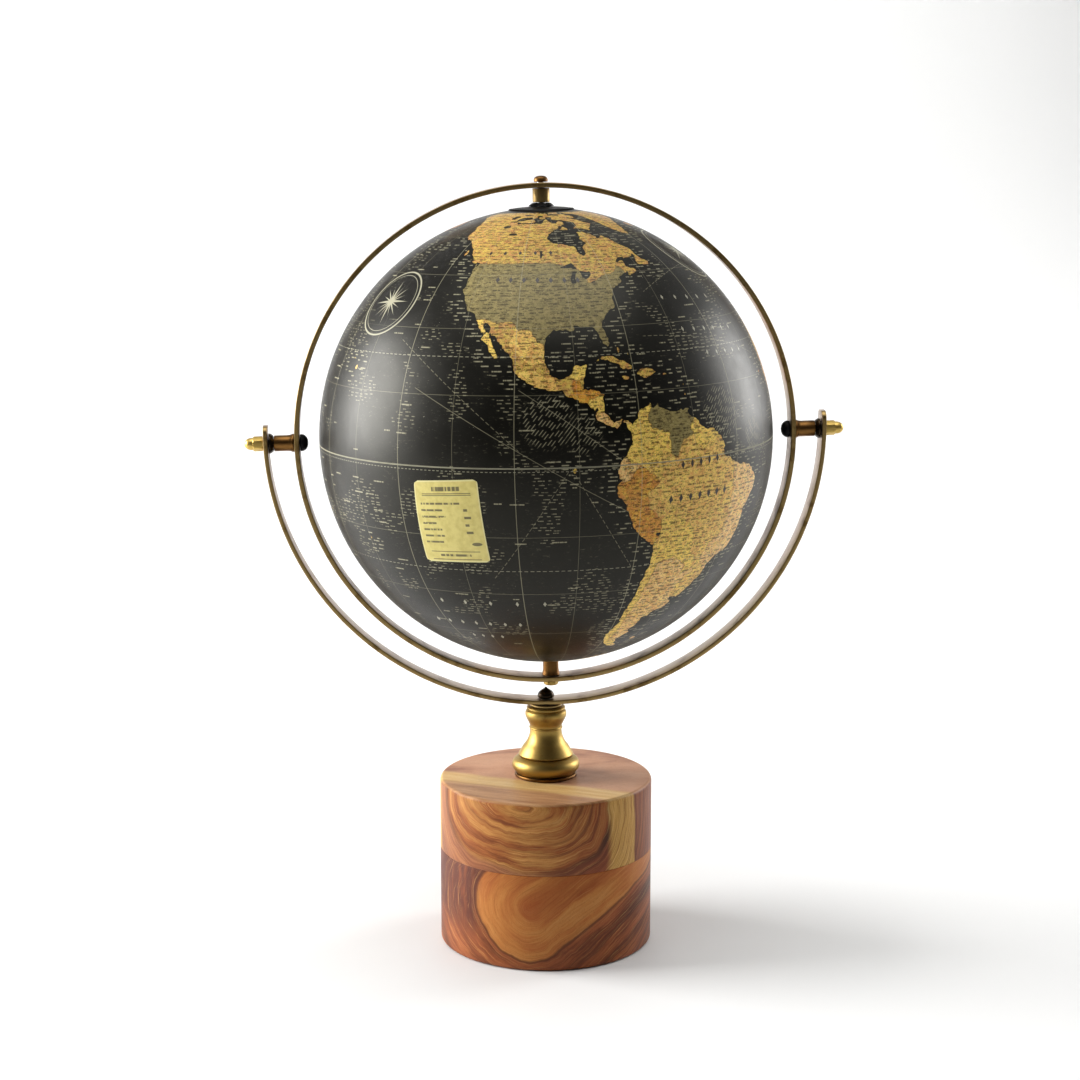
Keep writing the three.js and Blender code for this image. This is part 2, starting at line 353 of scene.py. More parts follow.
def oval(finish, terms):
    """Distance measure that is 1 on an ellipsoid: the root of the sum of ((value - middle) / half)^2."""
    total = None
    for value, middle, half in terms:
        shifted = (value - middle) / half
        square = shifted * shifted
        total = square if total is None else total + square
    return finish.math("SQRT", total)


class Board:
    """Places in a wooden block, and the growth rings, streaks and pores cut through it."""

    def __init__(self, name):
        self.finish = finish = Finish(name)
        self.place = finish.place()
        turn = math.radians(25)
        self.along = finish.dot(self.place, (math.cos(turn), -math.sin(turn), 0.0))
        self.across = finish.dot(self.place, (math.sin(turn), math.cos(turn), 0.0))
        self.side, _, self.height = finish.split(self.place)
        self.warp = finish.noise(self.place, 26.0, 3.0, 0.5, 0.5) - 0.5
        self.ripple = finish.noise(self.place, 110.0, 3.0, 0.6) - 0.5

    def bent(self, reach, slow, fast):
        """The ring distance with the tree's slow bends and small ripples."""
        reach = self.warp * slow + reach
        return self.ripple * fast + reach

    def rings(self, reach, scale, along=9.0, detail=4.0):
        """Uneven growth rings: noise that changes quickly from ring to ring and slowly round each ring."""
        finish = self.finish
        where = finish.combine(reach * scale, self.side * along, self.height * along)
        return finish.noise(where, 1.0, detail, 0.62)

    def paint(self, colour, fibre, grain, strength):
        """Finishes the board: broken fibres along the rings, pores along the grain, satin lacquer."""
        finish = self.finish
        dark_share = finish.step(fibre, 0.50, 0.68) * strength
        colour = finish.mix(dark_share, colour, srgb(92, 48, 26))
        light_share = finish.step(fibre, 0.46, 0.30) * (strength * 0.6)
        colour = finish.mix(light_share, colour, srgb(222, 168, 100))
        pores = finish.noise(finish.vector("MULTIPLY", self.place, grain), 1.0, 2.0, 0.65)
        colour = finish.mix(finish.step(pores, 0.56, 0.72, 0.0, 0.25), colour, srgb(78, 42, 24))
        finish.set("Base Color", colour)
        finish.set("Roughness", pores * 0.16 + 0.36)
        finish.set("Specular IOR Level", 0.14)
        finish.bump(fibre * 0.5 + pores, 0.10, 0.0002)
        return finish.material


def upper_acacia():
    """Rings round a heart low at the front, seen as ovals on the side, and a slab of pale sapwood."""
    board = Board("acacia_upper")
    finish = board.finish
    reach = oval(finish, ((board.across, -58 * MM, 26 * MM), (board.height, BASE_TOP - 1 * MM, 36 * MM)))
    reach = board.along * -4.6 + reach
    reach = board.bent(reach + 0.07, 0.30, 0.045)
    broad = board.rings(reach, 8.0, 24.0)
    fibre = board.rings(reach, 70.0, 45.0, 5.0)
    heart = finish.ramp(broad, (0.30, srgb(106, 56, 30)), (0.42, srgb(146, 84, 42)),
                        (0.50, srgb(164, 108, 56)), (0.58, srgb(182, 128, 68)), (0.70, srgb(156, 90, 48)))
    outer = finish.ramp(broad, (0.32, srgb(104, 62, 44)), (0.50, srgb(146, 92, 62)),
                        (0.66, srgb(162, 108, 70)))
    colour = finish.mix(finish.step(reach, 0.92, 1.04), heart, outer)
    to_right = finish.step(board.side, -6 * MM, 22 * MM)
    red = to_right * finish.step(reach, 0.30, 0.6, 0.0, 0.6)
    colour = finish.mix(red, colour, srgb(124, 58, 32))
    bands = board.rings(reach, 17.0, 12.0)
    dark_bands = finish.step(bands, 0.50, 0.60) * (to_right * 0.45 + 0.18)
    colour = finish.mix(dark_bands, colour, srgb(84, 44, 28))
    streak = finish.step(abs(reach - 0.99), 0.07, 0.03)
    high = finish.step(board.height, SEAM + 4 * MM, SEAM + 20 * MM, 0.35, 0.92)
    share = high * finish.step(board.side, -20 * MM, 22 * MM, 0.45, 1.0)
    colour = finish.mix(streak * share, colour, srgb(48, 26, 20))
    wavy = board.warp * (7 * MM) + board.across
    sap = finish.step(wavy, -32 * MM, -28 * MM) * finish.step(wavy, -12 * MM, -14 * MM)
    pale = finish.ramp(fibre, (0.35, srgb(192, 156, 94)), (0.50, srgb(182, 140, 74)),
                       (0.68, srgb(156, 112, 56)))
    colour = finish.mix(sap, colour, pale)
    edge = finish.step(abs(wavy + 12 * MM), 1.6 * MM, 0.2 * MM, 0.0, 0.6)
    colour = finish.mix(edge, colour, srgb(92, 52, 36))

    # The top face is smoother: pinkish brown behind the pale slab, greyer streaks in front of it.
    cloud = finish.noise(finish.vector("MULTIPLY", board.place, (30.0, 60.0, 60.0)), 1.0, 3.0, 0.5)
    streaks = finish.noise(finish.combine(board.along * 22.0, wavy * 260.0, 0.0), 1.0, 4.0, 0.6)
    behind = finish.ramp(cloud, (0.30, srgb(150, 96, 70)), (0.46, srgb(190, 138, 104)),
                         (0.62, srgb(200, 150, 116)))
    ahead = finish.ramp(streaks, (0.30, srgb(142, 98, 66)), (0.50, srgb(174, 128, 88)),
                        (0.68, srgb(196, 152, 110)))
    face = finish.mix(finish.step(wavy, -24 * MM, -20 * MM), ahead, behind)
    slab = finish.step(wavy, -33 * MM, -27 * MM) * finish.step(wavy, -11 * MM, -16 * MM)
    light = finish.ramp(streaks, (0.30, srgb(196, 150, 88)), (0.50, srgb(210, 172, 112)),
                        (0.68, srgb(220, 188, 132)))
    face = finish.mix(slab, face, light)
    on_top = finish.step(board.height, BASE_TOP - 1.3 * MM, BASE_TOP - 0.3 * MM)
    colour = finish.mix(on_top, colour, face)
    strength = on_top * -0.40 + 0.55
    return board.paint(colour, fibre, (900.0, 2200.0, 2200.0), strength)


def lower_acacia():
    """A big tongue of orange heartwood that opens up to the right, with dark streaks outside it."""
    board = Board("acacia_lower")
    finish = board.finish
    lean = math.radians(35)
    right = board.side - 5 * MM
    rise = board.height - (SEAM - 5 * MM)
    length = right * math.cos(lean) + rise * math.sin(lean)
    width = right * -math.sin(lean) + rise * math.cos(lean)
    past_end = smaller(length + 20 * MM, 0.0)
    reach = oval(finish, ((past_end, 0.0, 27.5 * MM), (width, 0.0, 27.5 * MM)))
    reach = board.bent(reach, 0.34, 0.05)
    broad = board.rings(reach, 3.4, 22.0)
    fibre = board.rings(reach, 60.0, 45.0, 5.0)
    heart = finish.ramp(broad, (0.30, srgb(142, 76, 36)), (0.44, srgb(162, 94, 46)),
                        (0.56, srgb(176, 112, 56)), (0.70, srgb(184, 124, 66)))
    centre = finish.step(reach, 0.36, 0.10, 0.0, 0.5)
    heart = finish.mix(centre, heart, srgb(140, 66, 30))
    outer = finish.ramp(broad, (0.34, srgb(88, 48, 30)), (0.48, srgb(132, 72, 42)), (0.64, srgb(160, 92, 54)))
    colour = finish.mix(finish.step(reach, 0.95, 1.03), heart, outer)
    dark = finish.step(abs(reach - 1.0), 0.045, 0.008, 0.0, 0.7)
    colour = finish.mix(dark, colour, srgb(70, 38, 24))
    outside = finish.step(reach, 1.05, 1.25)
    bands = board.rings(reach, 13.0, 9.0)
    low_right = outside * finish.step(board.side, 2 * MM, 26 * MM)
    dark_bands = low_right * finish.step(bands, 0.46, 0.58, 0.0, 0.55)
    colour = finish.mix(dark_bands, colour, srgb(70, 40, 30))
    left = board.warp * (16 * MM) + board.side
    purple = finish.step(left, -34 * MM, -40 * MM) * finish.step(board.height, 8 * MM, 28 * MM)
    streak = finish.noise(finish.vector("MULTIPLY", board.place, (210.0, 210.0, 30.0)), 1.0, 3.0, 0.6)
    streak = purple * finish.step(streak, 0.34, 0.54, 0.25, 0.85)
    colour = finish.mix(streak, colour, srgb(80, 42, 34))
    strength = finish.step(reach, 0.9, 1.1, 0.30, 0.60)
    return board.paint(colour, fibre, (2200.0, 2200.0, 700.0), strength)


# ---- mesh building -------------------------------------------------------------------------------
SHARP_ANGLE = math.radians(38)
NUT_STEPS = 72
RING_STEPS = 240
YOKE_STEPS = 160


def frame_for(direction):
    """Two unit vectors that make a right-handed frame with this direction."""
    direction = Vector(direction).normalized()
    side = FRONT.cross(direction)
    if side.length < 0.1:
        side = Vector((1, 0, 0)).cross(direction)
    side.normalize()
    return side, direction.cross(side).normalized()


def new_mesh(name, vertices, faces):
    mesh = bpy.data.meshes.new(name)
    mesh.from_pydata([tuple(vertex) for vertex in vertices], [], faces)
    return mesh


def new_object(name, data):
    """A new object in the scene."""
    made = bpy.data.objects.new(name, data)
    bpy.context.scene.collection.objects.link(made)
    return made


def make_piece(name, vertices, faces, material, body, nodes=()):
    """A piece from vertices and faces, cleaned and with its normals outward."""
    mesh = new_mesh(name, vertices, faces)
    shape = bmesh.new()
    shape.from_mesh(mesh)
    bmesh.ops.remove_doubles(shape, verts=shape.verts, dist=1e-7)
    bmesh.ops.dissolve_degenerate(shape, dist=1e-8, edges=shape.edges)
    bmesh.ops.recalc_face_normals(shape, faces=shape.faces)
    shape.to_mesh(mesh)
    shape.free()
    return dress(name, mesh, material, body, nodes)


def dress(name, mesh, material, body, nodes=()):
    """Puts a mesh in the scene as a piece with its material and body."""
    mesh.shade_smooth()
    mesh.set_sharp_from_angle(angle=SHARP_ANGLE)
    mesh.materials.append(material)
    piece = new_object(name, mesh)
    if nodes:
        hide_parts(*nodes)
    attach(piece, body)
    return piece


def skin(rings, closed=False):
    """Vertices and faces of a tube through rings of points, capped at both ends unless closed."""
    count = len(rings[0])
    vertices = [point for ring in rings for point in ring]
    faces = []
    for row in range(len(rings) if closed else len(rings) - 1):
        here, there = row * count, ((row + 1) % len(rings)) * count
        for step in range(count):
            turn = (step + 1) % count
            faces.append((here + step, here + turn, there + turn, there + step))
    if not closed:
        faces.append(tuple(range(count - 1, -1, -1)))
        faces.append(tuple(range(len(vertices) - count, len(vertices))))
    return vertices, faces


def rounded(points, radius, steps=3, closed=True):
    """The outline with each corner rounded off by a short curve."""
    result = []
    count = len(points)
    for index, point in enumerate(points):
        here = Vector(point)
        if not closed and index in (0, count - 1):
            result.append(here)
            continue
        before = Vector(points[index - 1]) - here
        after = Vector(points[(index + 1) % count]) - here
        straight = before.angle(after, 0) > math.radians(155)
        cut = min(radius, before.length * 0.45, after.length * 0.45)
        if straight or cut < 1e-6:
            result.append(here)
            continue
        start = here + before.normalized() * cut
        end = here + after.normalized() * cut
        for step in range(steps + 1):
            share = step / steps
            result.append(start * (1 - share) ** 2 + here * (2 * share * (1 - share)) + end * share ** 2)
    return result


def curved(points, steps=5):
    """A smooth curve through the outline's points."""
    knots = [Vector(point) for point in points]
    knots = [knots[0] * 2 - knots[1], *knots, knots[-1] * 2 - knots[-2]]
    result = []
    for index in range(1, len(knots) - 2):
        first, second, third, fourth = knots[index - 1:index + 3]
        for step in range(steps):
            t = step / steps
            result.append(0.5 * (second * 2 + (third - first) * t
                                 + (first * 2 - second * 5 + third * 4 - fourth) * t ** 2
                                 + (second * 3 - first - third * 3 + fourth) * t ** 3))
    result.append(knots[-2])
    return result


def arc(radius_at, height_at, radius, start, end, steps):
    """Points on a circle in the outline plane, angles in degrees from the radius axis."""
    angles = [math.radians(start + (end - start) * step / steps) for step in range(steps + 1)]
    return [(radius_at + radius * math.cos(a), height_at + radius * math.sin(a)) for a in angles]


def lathe(outline, origin, direction, segments=64):
    """Rings for a turned solid: outline is (radius, distance along direction) in millimetres."""
    side, up = frame_for(direction)
    axis = Vector(direction).normalized()
    turns = [2 * math.pi * step / segments for step in range(segments)]
    return [[origin + axis * (along * MM) + (side * math.cos(a) + up * math.sin(a)) * (radius * MM)
             for a in turns] for radius, along in outline]


def turned_solid(name, outline, origin, direction, material, body, nodes, segments=64):
    """A solid with an axis: the outline starts and ends on the axis."""
    vertices, faces = skin(lathe(outline, origin, direction, segments))
    return make_piece(name, vertices, faces, material, body, nodes)


def turned_ring(name, outline, origin, direction, material, body, nodes, segments=64):
    """A solid with a bore: the outline is a closed loop."""
    vertices, faces = skin(lathe(outline, origin, direction, segments), closed=True)
    return make_piece(name, vertices, faces, material, body, nodes)


def hexagon(radius, angle):
    """Distance from the axis at this angle: a hexagon, but no further out than radius."""
    return min(radius, HEX_FLATS / 2 / math.cos((angle % (math.pi / 3)) - math.pi / 6))


def hex_nut(name, stations, origin, direction, material, body, nodes):
    """A nut whose stations are (largest radius, distance along direction) in millimetres."""
    side, up = frame_for(direction)
    axis = Vector(direction).normalized()
    turns = [2 * math.pi * step / NUT_STEPS for step in range(NUT_STEPS)]
    rings = []
    for radius, along in stations:
        ring = []
        for a in turns:
            reach = hexagon(radius, a) * MM
            ring.append(origin + axis * (along * MM) + (side * math.cos(a) + up * math.sin(a)) * reach)
        rings.append(ring)
    vertices, faces = skin(rings)
    return make_piece(name, vertices, faces, material, body, nodes)


def strap(stations, closed):
    """Rings of a flat strap. Each station is (outer point, outward direction, half width, thickness)."""
    rings = []
    for point, outward, half, thickness in stations:
        corners = [(0, -half), (0, half), (-thickness, half), (-thickness, -half)]
        section = rounded(corners, STRAP_EDGE, 3)
        rings.append([point + outward * across + Vector((0, along, 0)) for across, along in section])
    return skin(rings, closed)


def drill(mesh_vertices, mesh_faces, holes):
    """Cuts round holes through a solid. Each hole is (start, end, radius)."""
    mesh = new_mesh("blank", mesh_vertices, mesh_faces)
    blank = new_object("blank", mesh)
    cutters = []
    for start, end, radius in holes:
        length = (end - start).length / MM
        vertices, faces = skin(lathe([(radius, 0), (radius, length)], start, end - start, 32))
        tool_mesh = new_mesh("drill", vertices, faces)
        tool = new_object("drill", tool_mesh)
        cut = blank.modifiers.new("drill", "BOOLEAN")
        cut.operation = "DIFFERENCE"
        cut.solver = "EXACT"
        cut.object = tool
        cutters.append(tool)
    shaped = bpy.data.meshes.new_from_object(blank.evaluated_get(bpy.context.evaluated_depsgraph_get()))
    for spare in (*cutters, blank):
        bpy.data.objects.remove(spare)
    return shaped


# ---- materials ---------------------------------------------------------------------------------
ANTIQUE = brass("antique_brass_finish", srgb(150, 126, 80), srgb(118, 95, 56), 0.38, 0.3, 0.75)
AGED = brass("aged_brass_finish", srgb(118, 84, 44), srgb(84, 57, 29), 0.36, 0.35)
SATIN = brass("satin_brass_finish", srgb(168, 140, 76), srgb(130, 102, 50), 0.43, 0.2)
BRIGHT = brass("bright_brass_finish", srgb(196, 166, 92), srgb(164, 128, 62), 0.40, 0.15)
BLACK = dark_metal("black_steel_finish", srgb(9, 9, 9), srgb(30, 26, 22), 0.50, 0.0)
BRONZE = dark_metal("dark_bronze_finish", srgb(44, 35, 26), srgb(128, 100, 62), 0.24, 0.9)
ZINC = plated_steel()
FELT = felt_finish()
BOARD = board_finish()
NYLON = nylon_finish()


# ---- wooden base, stem and tie rod -----------------------------------------------------------------
def build_base():
    """Two turned wooden blocks, recessed underneath for the tie rod's nut, and a felt pad."""
    origin = Vector((0, 0, 0))
    up = Vector((0, 0, 1))
    radius = BASE_RADIUS / MM
    seam, top, low = SEAM / MM, BASE_TOP / MM, BASE_BOTTOM / MM
    edge = 1.8
    recess = span("base_pad", 0)[1] / MM + 0.3
    pad_top = span("base_pad", 2)[1] / MM
    counterbore_top = span("base_washer", 2)[1] / MM + 0.3
    lower = [(ROD_BORE, seam - 0.04), (ROD_BORE, counterbore_top), (12.0, counterbore_top),
             (12.0, pad_top + 0.3), (recess, pad_top + 0.3), (recess, low),
             *arc(radius - edge, low + edge, edge, -90, 0, 8),
             *arc(radius - 0.25, seam - 0.29, 0.25, 0, 90, 3)]
    turned_ring("lower_block", lower, origin, up, lower_acacia(), "stand",
                ("base_lower_block",), 160)
    upper = [(ROD_BORE, top), (ROD_BORE, seam), *arc(radius - 0.25, seam + 0.25, 0.25, -90, 0, 3),
             *arc(radius - edge, top - edge, edge, 0, 90, 8)]
    turned_ring("upper_block", upper, origin, up, upper_acacia(), "stand",
                ("base_upper_block",), 160)
    pad = rounded([(0.0, 0.0), (recess - 0.3, 0.0), (recess - 0.3, pad_top), (0.0, pad_top)], 0.5, 3, False)
    turned_solid("felt_pad", pad, origin, up, FELT, "stand", ("base_pad",), 128)


def build_stem():
    """The turned brass stem between its two washers, and the nut on top of the yoke."""
    origin = Vector((0, 0, 0))
    up = Vector((0, 0, 1))
    low = span("stem", 2)[0] / MM
    top = span("stem", 2)[1] / MM
    foot = curved([*arc(13.4, 4.2, 4.1, -50, 60, 5), (14.2, 8.5), (13.3, 8.7)], 4)
    lip = [(13.0, 8.9), (13.0, 9.1), *arc(13.55, 9.75, 0.6, -80, 30, 5)]
    skirt = curved([(13.8, 10.4), (13.0, 11.8), (11.8, 13.8), (10.2, 16.0), (9.1, 18.2), (8.4, 20.6),
                    (8.2, 23.2)], 6)
    bead = arc(8.25, 23.75, 0.42, -70, 70, 6)
    collar = curved([(8.25, 24.3), (8.55, 25.6), (9.3, 27.2), (10.2, 29.0), (10.7, 30.7), (10.5, 32.3),
                     (9.7, 33.3)], 6)
    brim = [(9.3, 33.5), (9.3, 33.8), *arc(9.6, 34.3, 0.45, -60, 60, 5)]
    profile = [(ROD_BORE, 0.0), (15.2, 0.0), *foot, *lip, *skirt, *bead, *collar, *brim,
               (9.3, top - low), (ROD_BORE, top - low)]
    turned_ring("turned_stem", [(r, low + z) for r, z in profile], origin, up, SATIN, "stand",
                ("stem",), 128)
    for name, node, radius, finish, slot in (
            ("foot_ring", "foot_washer", 16.2, AGED, "bright_brass"),
            ("saddle_ring", "saddle_washer", 8.4, ANTIQUE, "antique_brass")):
        z_low, z_high = (place / MM for place in span(node, 2))
        outline = rounded([(ROD_BORE, z_high), (ROD_BORE, z_low), (radius, z_low), (radius, z_high)], 0.4, 3)
        turned_ring(name, outline, origin, up, finish, "stand", (node,), 96)
    acorn_low = span("acorn_nut", 2)[0] / MM
    acorn = [(0.0, 0.0), (3.7, 0.0), *curved([(4.15, 0.5), (4.3, 1.1), (4.1, 2.2), (3.4, 3.2), (2.2, 4.15),
                                              (1.0, 4.9), (0.35, 5.5)], 4), (0.0, 5.8)]
    turned_solid("acorn", [(r, acorn_low + z) for r, z in acorn], origin, up, BRONZE, "stand",
                 ("acorn_nut",))


# ---- yoke, ring and their fittings -----------------------------------------------------------------
def circle_station(middle, radius, angle, half, thickness):
    """One station of a strap that runs round the pivot axis and the pole axis."""
    outward = PIVOT_AXIS * math.cos(angle) + POLE_AXIS * math.sin(angle)
    return middle + outward * radius, outward, half, thickness


def build_ring():
    """The meridian strap: a full circle with four holes."""
    half = STRAP_WIDTH / 2
    turns = [2 * math.pi * step / RING_STEPS for step in range(RING_STEPS)]
    stations = [circle_station(CENTRE, RING_RADIUS, a, half, RING_THICKNESS) for a in turns]
    vertices, faces = strap(stations, True)
    near, far = RING_RADIUS - DRILL_REACH, RING_RADIUS + DRILL_REACH
    holes = [(CENTRE + axis * near * sign, CENTRE + axis * far * sign, PIVOT_BORE)
             for axis in (PIVOT_AXIS, POLE_AXIS) for sign in (-1, 1)]
    dress("meridian_strap", drill(vertices, faces, holes), ANTIQUE, "ring",
          ("meridian_ring",))


def build_yoke():
    """The outer strap: half a circle with rounded ends, an ear hole in each and one for the tie rod."""
    half = STRAP_WIDTH / 2
    corner = 4 * MM
    middle = CENTRE + POLE_AXIS * YOKE_RISE
    tip = math.asin((EAR_RISE - YOKE_RISE) / YOKE_RADIUS)
    low, high = math.pi - tip, 2 * math.pi + tip
    ends = [corner * (1 - math.cos(math.radians(turn))) / YOKE_RADIUS for turn in range(0, 91, 10)]
    body = [ends[-1] + (high - low - 2 * ends[-1]) * step / YOKE_STEPS for step in range(1, YOKE_STEPS)]
    places = [*ends, *body, *(high - low - end for end in reversed(ends))]
    stations = []
    for place in places:
        from_tip = min(place, high - low - place) * YOKE_RADIUS
        round_off = 0 if from_tip >= corner else corner - math.sqrt(corner ** 2 - (corner - from_tip) ** 2)
        stations.append(circle_station(middle, YOKE_RADIUS, low + place, half - round_off, YOKE_THICKNESS))
    vertices, faces = strap(stations, False)
    near, far = YOKE_RADIUS - DRILL_REACH, YOKE_RADIUS + DRILL_REACH
    holes = [(CENTRE + PIVOT_AXIS * near * sign, CENTRE + PIVOT_AXIS * far * sign, PIVOT_BORE)
             for sign in (-1, 1)]
    yoke_low = span("yoke", 2)[0]
    holes.append((Vector((0, 0, yoke_low - 5 * MM)), Vector((0, 0, yoke_low + DRILL_REACH)), ROD_BORE))
    dress("yoke_strap", drill(vertices, faces, holes), ANTIQUE, "stand", ("yoke",))


def build_pivots():
    """On each side: a screw from inside the ring, a spacer, a washer and a cap nut."""
    ear_outside = math.sqrt(YOKE_RADIUS ** 2 - YOKE_RISE ** 2) / MM
    washer_top = ear_outside - YOKE_THICKNESS / MM - 0.45
    washer_low = washer_top - WASHER_THICKNESS
    ring_inside = (RING_RADIUS - RING_THICKNESS) / MM - STACK_GAP
    spacer_low = RING_RADIUS / MM + STACK_GAP
    nut_low = ear_outside + STACK_GAP
    for side, sign in (("left", -1), ("right", 1)):
        axis = PIVOT_AXIS * sign
        screw = [(0.0, ring_inside - 4.0), *curved([(1.2, ring_inside - 3.9), (2.6, ring_inside - 3.4),
                 (3.7, ring_inside - 2.4), (4.25, ring_inside - 1.2), (4.3, ring_inside - 0.4)], 4),
                 (4.1, ring_inside), (2.0, ring_inside), (2.0, nut_low + 5.5), (0.0, nut_low + 5.5)]
        turned_solid(f"screw_{side}", screw, CENTRE, axis, BLACK, "ring",
                     (f"pivot_screw_{side}",))
        spacer = [(PIVOT_BORE, washer_low - 0.3), (PIVOT_BORE, spacer_low), (4.5, spacer_low),
                  *curved([(4.62, spacer_low + 0.3), (4.6, spacer_low + 0.9), (4.3, spacer_low + 1.5),
                           (4.1, spacer_low + 2.4), (4.05, spacer_low + 3.4)], 4),
                  (4.05, washer_low - 0.6), (3.85, washer_low - 0.3)]
        turned_ring(f"spacer_{side}", spacer, CENTRE, axis, AGED, "ring",
                    (f"pivot_spacer_{side}",))
        washer = rounded([(PIVOT_BORE, washer_top), (PIVOT_BORE, washer_low), (4.0, washer_low),
                          (5.1, washer_top - 0.8), (5.1, washer_top)], 0.25, 3)
        turned_ring(f"washer_{side}", washer, CENTRE, axis, BRONZE, "stand",
                    (f"pivot_washer_{side}",))
        dome = curved([(3.05, nut_low + 5.2), (3.1, nut_low + 6.2), (2.7, nut_low + 7.7),
                       (1.7, nut_low + 8.9), (0.6, nut_low + 9.4)], 4)
        stations = [(0.0, nut_low), (3.35, nut_low), (HEX_CORNER, nut_low + 0.5), (HEX_CORNER, nut_low + 4.5),
                    (3.35, nut_low + 5.0), *dome, (0.0, nut_low + 9.5)]
        hex_nut(f"cap_nut_shell_{side}", stations, CENTRE, axis, BRIGHT, "ring",
                (f"cap_nut_{side}",))


def build_pole_fittings():
    """Nuts and tubes on the ring, and collars on the ball, along the pole rod."""
    inside = (RING_RADIUS - RING_THICKNESS) / MM - STACK_GAP
    outside = RING_RADIUS / MM + STACK_GAP
    ball = BALL_RADIUS / MM
    north, south = POLE_AXIS, -POLE_AXIS
    dome = [(0.0, outside), (3.4, outside), *curved([(3.5, outside + 0.15), (3.5, outside + 1.1),
            (3.0, outside + 2.2), (1.8, outside + 2.9), (0.5, outside + 3.08)], 4), (0.0, outside + 3.1)]
    turned_solid("north_dome", dome, CENTRE, north, AGED, "ring", ("north_nut",))
    tube = rounded([(PIVOT_BORE, inside), (PIVOT_BORE, ball + 2.7), (4.3, ball + 2.7), (4.3, inside)], 0.3, 3)
    turned_ring("north_tube", tube, CENTRE, north, ANTIQUE, "ring", ("north_spacer",))
    flare = rounded([(PIVOT_BORE, inside), (PIVOT_BORE, ball + 1.6), (4.0, ball + 1.6), (4.1, inside - 3.0),
                     (4.3, inside - 1.2), (4.7, inside)], 0.3, 3)
    turned_ring("south_tube", flare, CENTRE, south, AGED, "ring", ("south_spacer",))
    stations = [(0.0, outside), (3.35, outside), (HEX_CORNER, outside + 0.4), (HEX_CORNER, outside + 1.9),
                (3.3, outside + 2.3), (1.2, outside + 2.4), (0.0, outside + 2.4)]
    hex_nut("south_hex", stations, CENTRE, south, SATIN, "ring", ("south_nut",))
    cone = rounded([(PIVOT_BORE, ball + 2.4), (PIVOT_BORE, ball + 0.75), (6.4, ball + 0.75),
                    (6.2, ball + 1.1), (4.5, ball + 2.4)], 0.2, 3)
    turned_ring("north_cone", cone, CENTRE, north, BLACK, "globe", ("north_collar",))
    cap_radius = 16.5
    shell = [math.radians(degrees) for degrees in range(2, 9)]
    over = [((ball + 0.7) * math.sin(a), (ball + 0.7) * math.cos(a)) for a in shell]
    under = [((ball + 0.1) * math.sin(a), (ball + 0.1) * math.cos(a)) for a in reversed(shell)]
    rim = (cap_radius, math.sqrt((ball + 0.1) ** 2 - cap_radius ** 2))
    turned_ring("pole_plate", [*over, rim, *under], CENTRE, north, BLACK, "globe", (), 96)
    thrust = rounded([(PIVOT_BORE, ball + 1.3), (PIVOT_BORE, ball + 0.3), (4.6, ball + 0.3),
                      (4.6, ball + 1.3)], 0.25, 3)
    turned_ring("south_thrust", thrust, CENTRE, south, BLACK, "globe", ("south_collar",))


def paint_hidden_nodes():
    """CAD nodes that keep their own shape: the rods, base hardware, bushes and the joining band."""
    for finish, nodes in ((ZINC, ("tie_rod", "pole_rod", "base_nut", "base_washer")),
                          (NYLON, ("north_bush", "south_bush")), (BOARD, ("equator_band",))):
        for node in nodes:
            for place in frame["nodes"][node].material_slots:
                place.material = finish
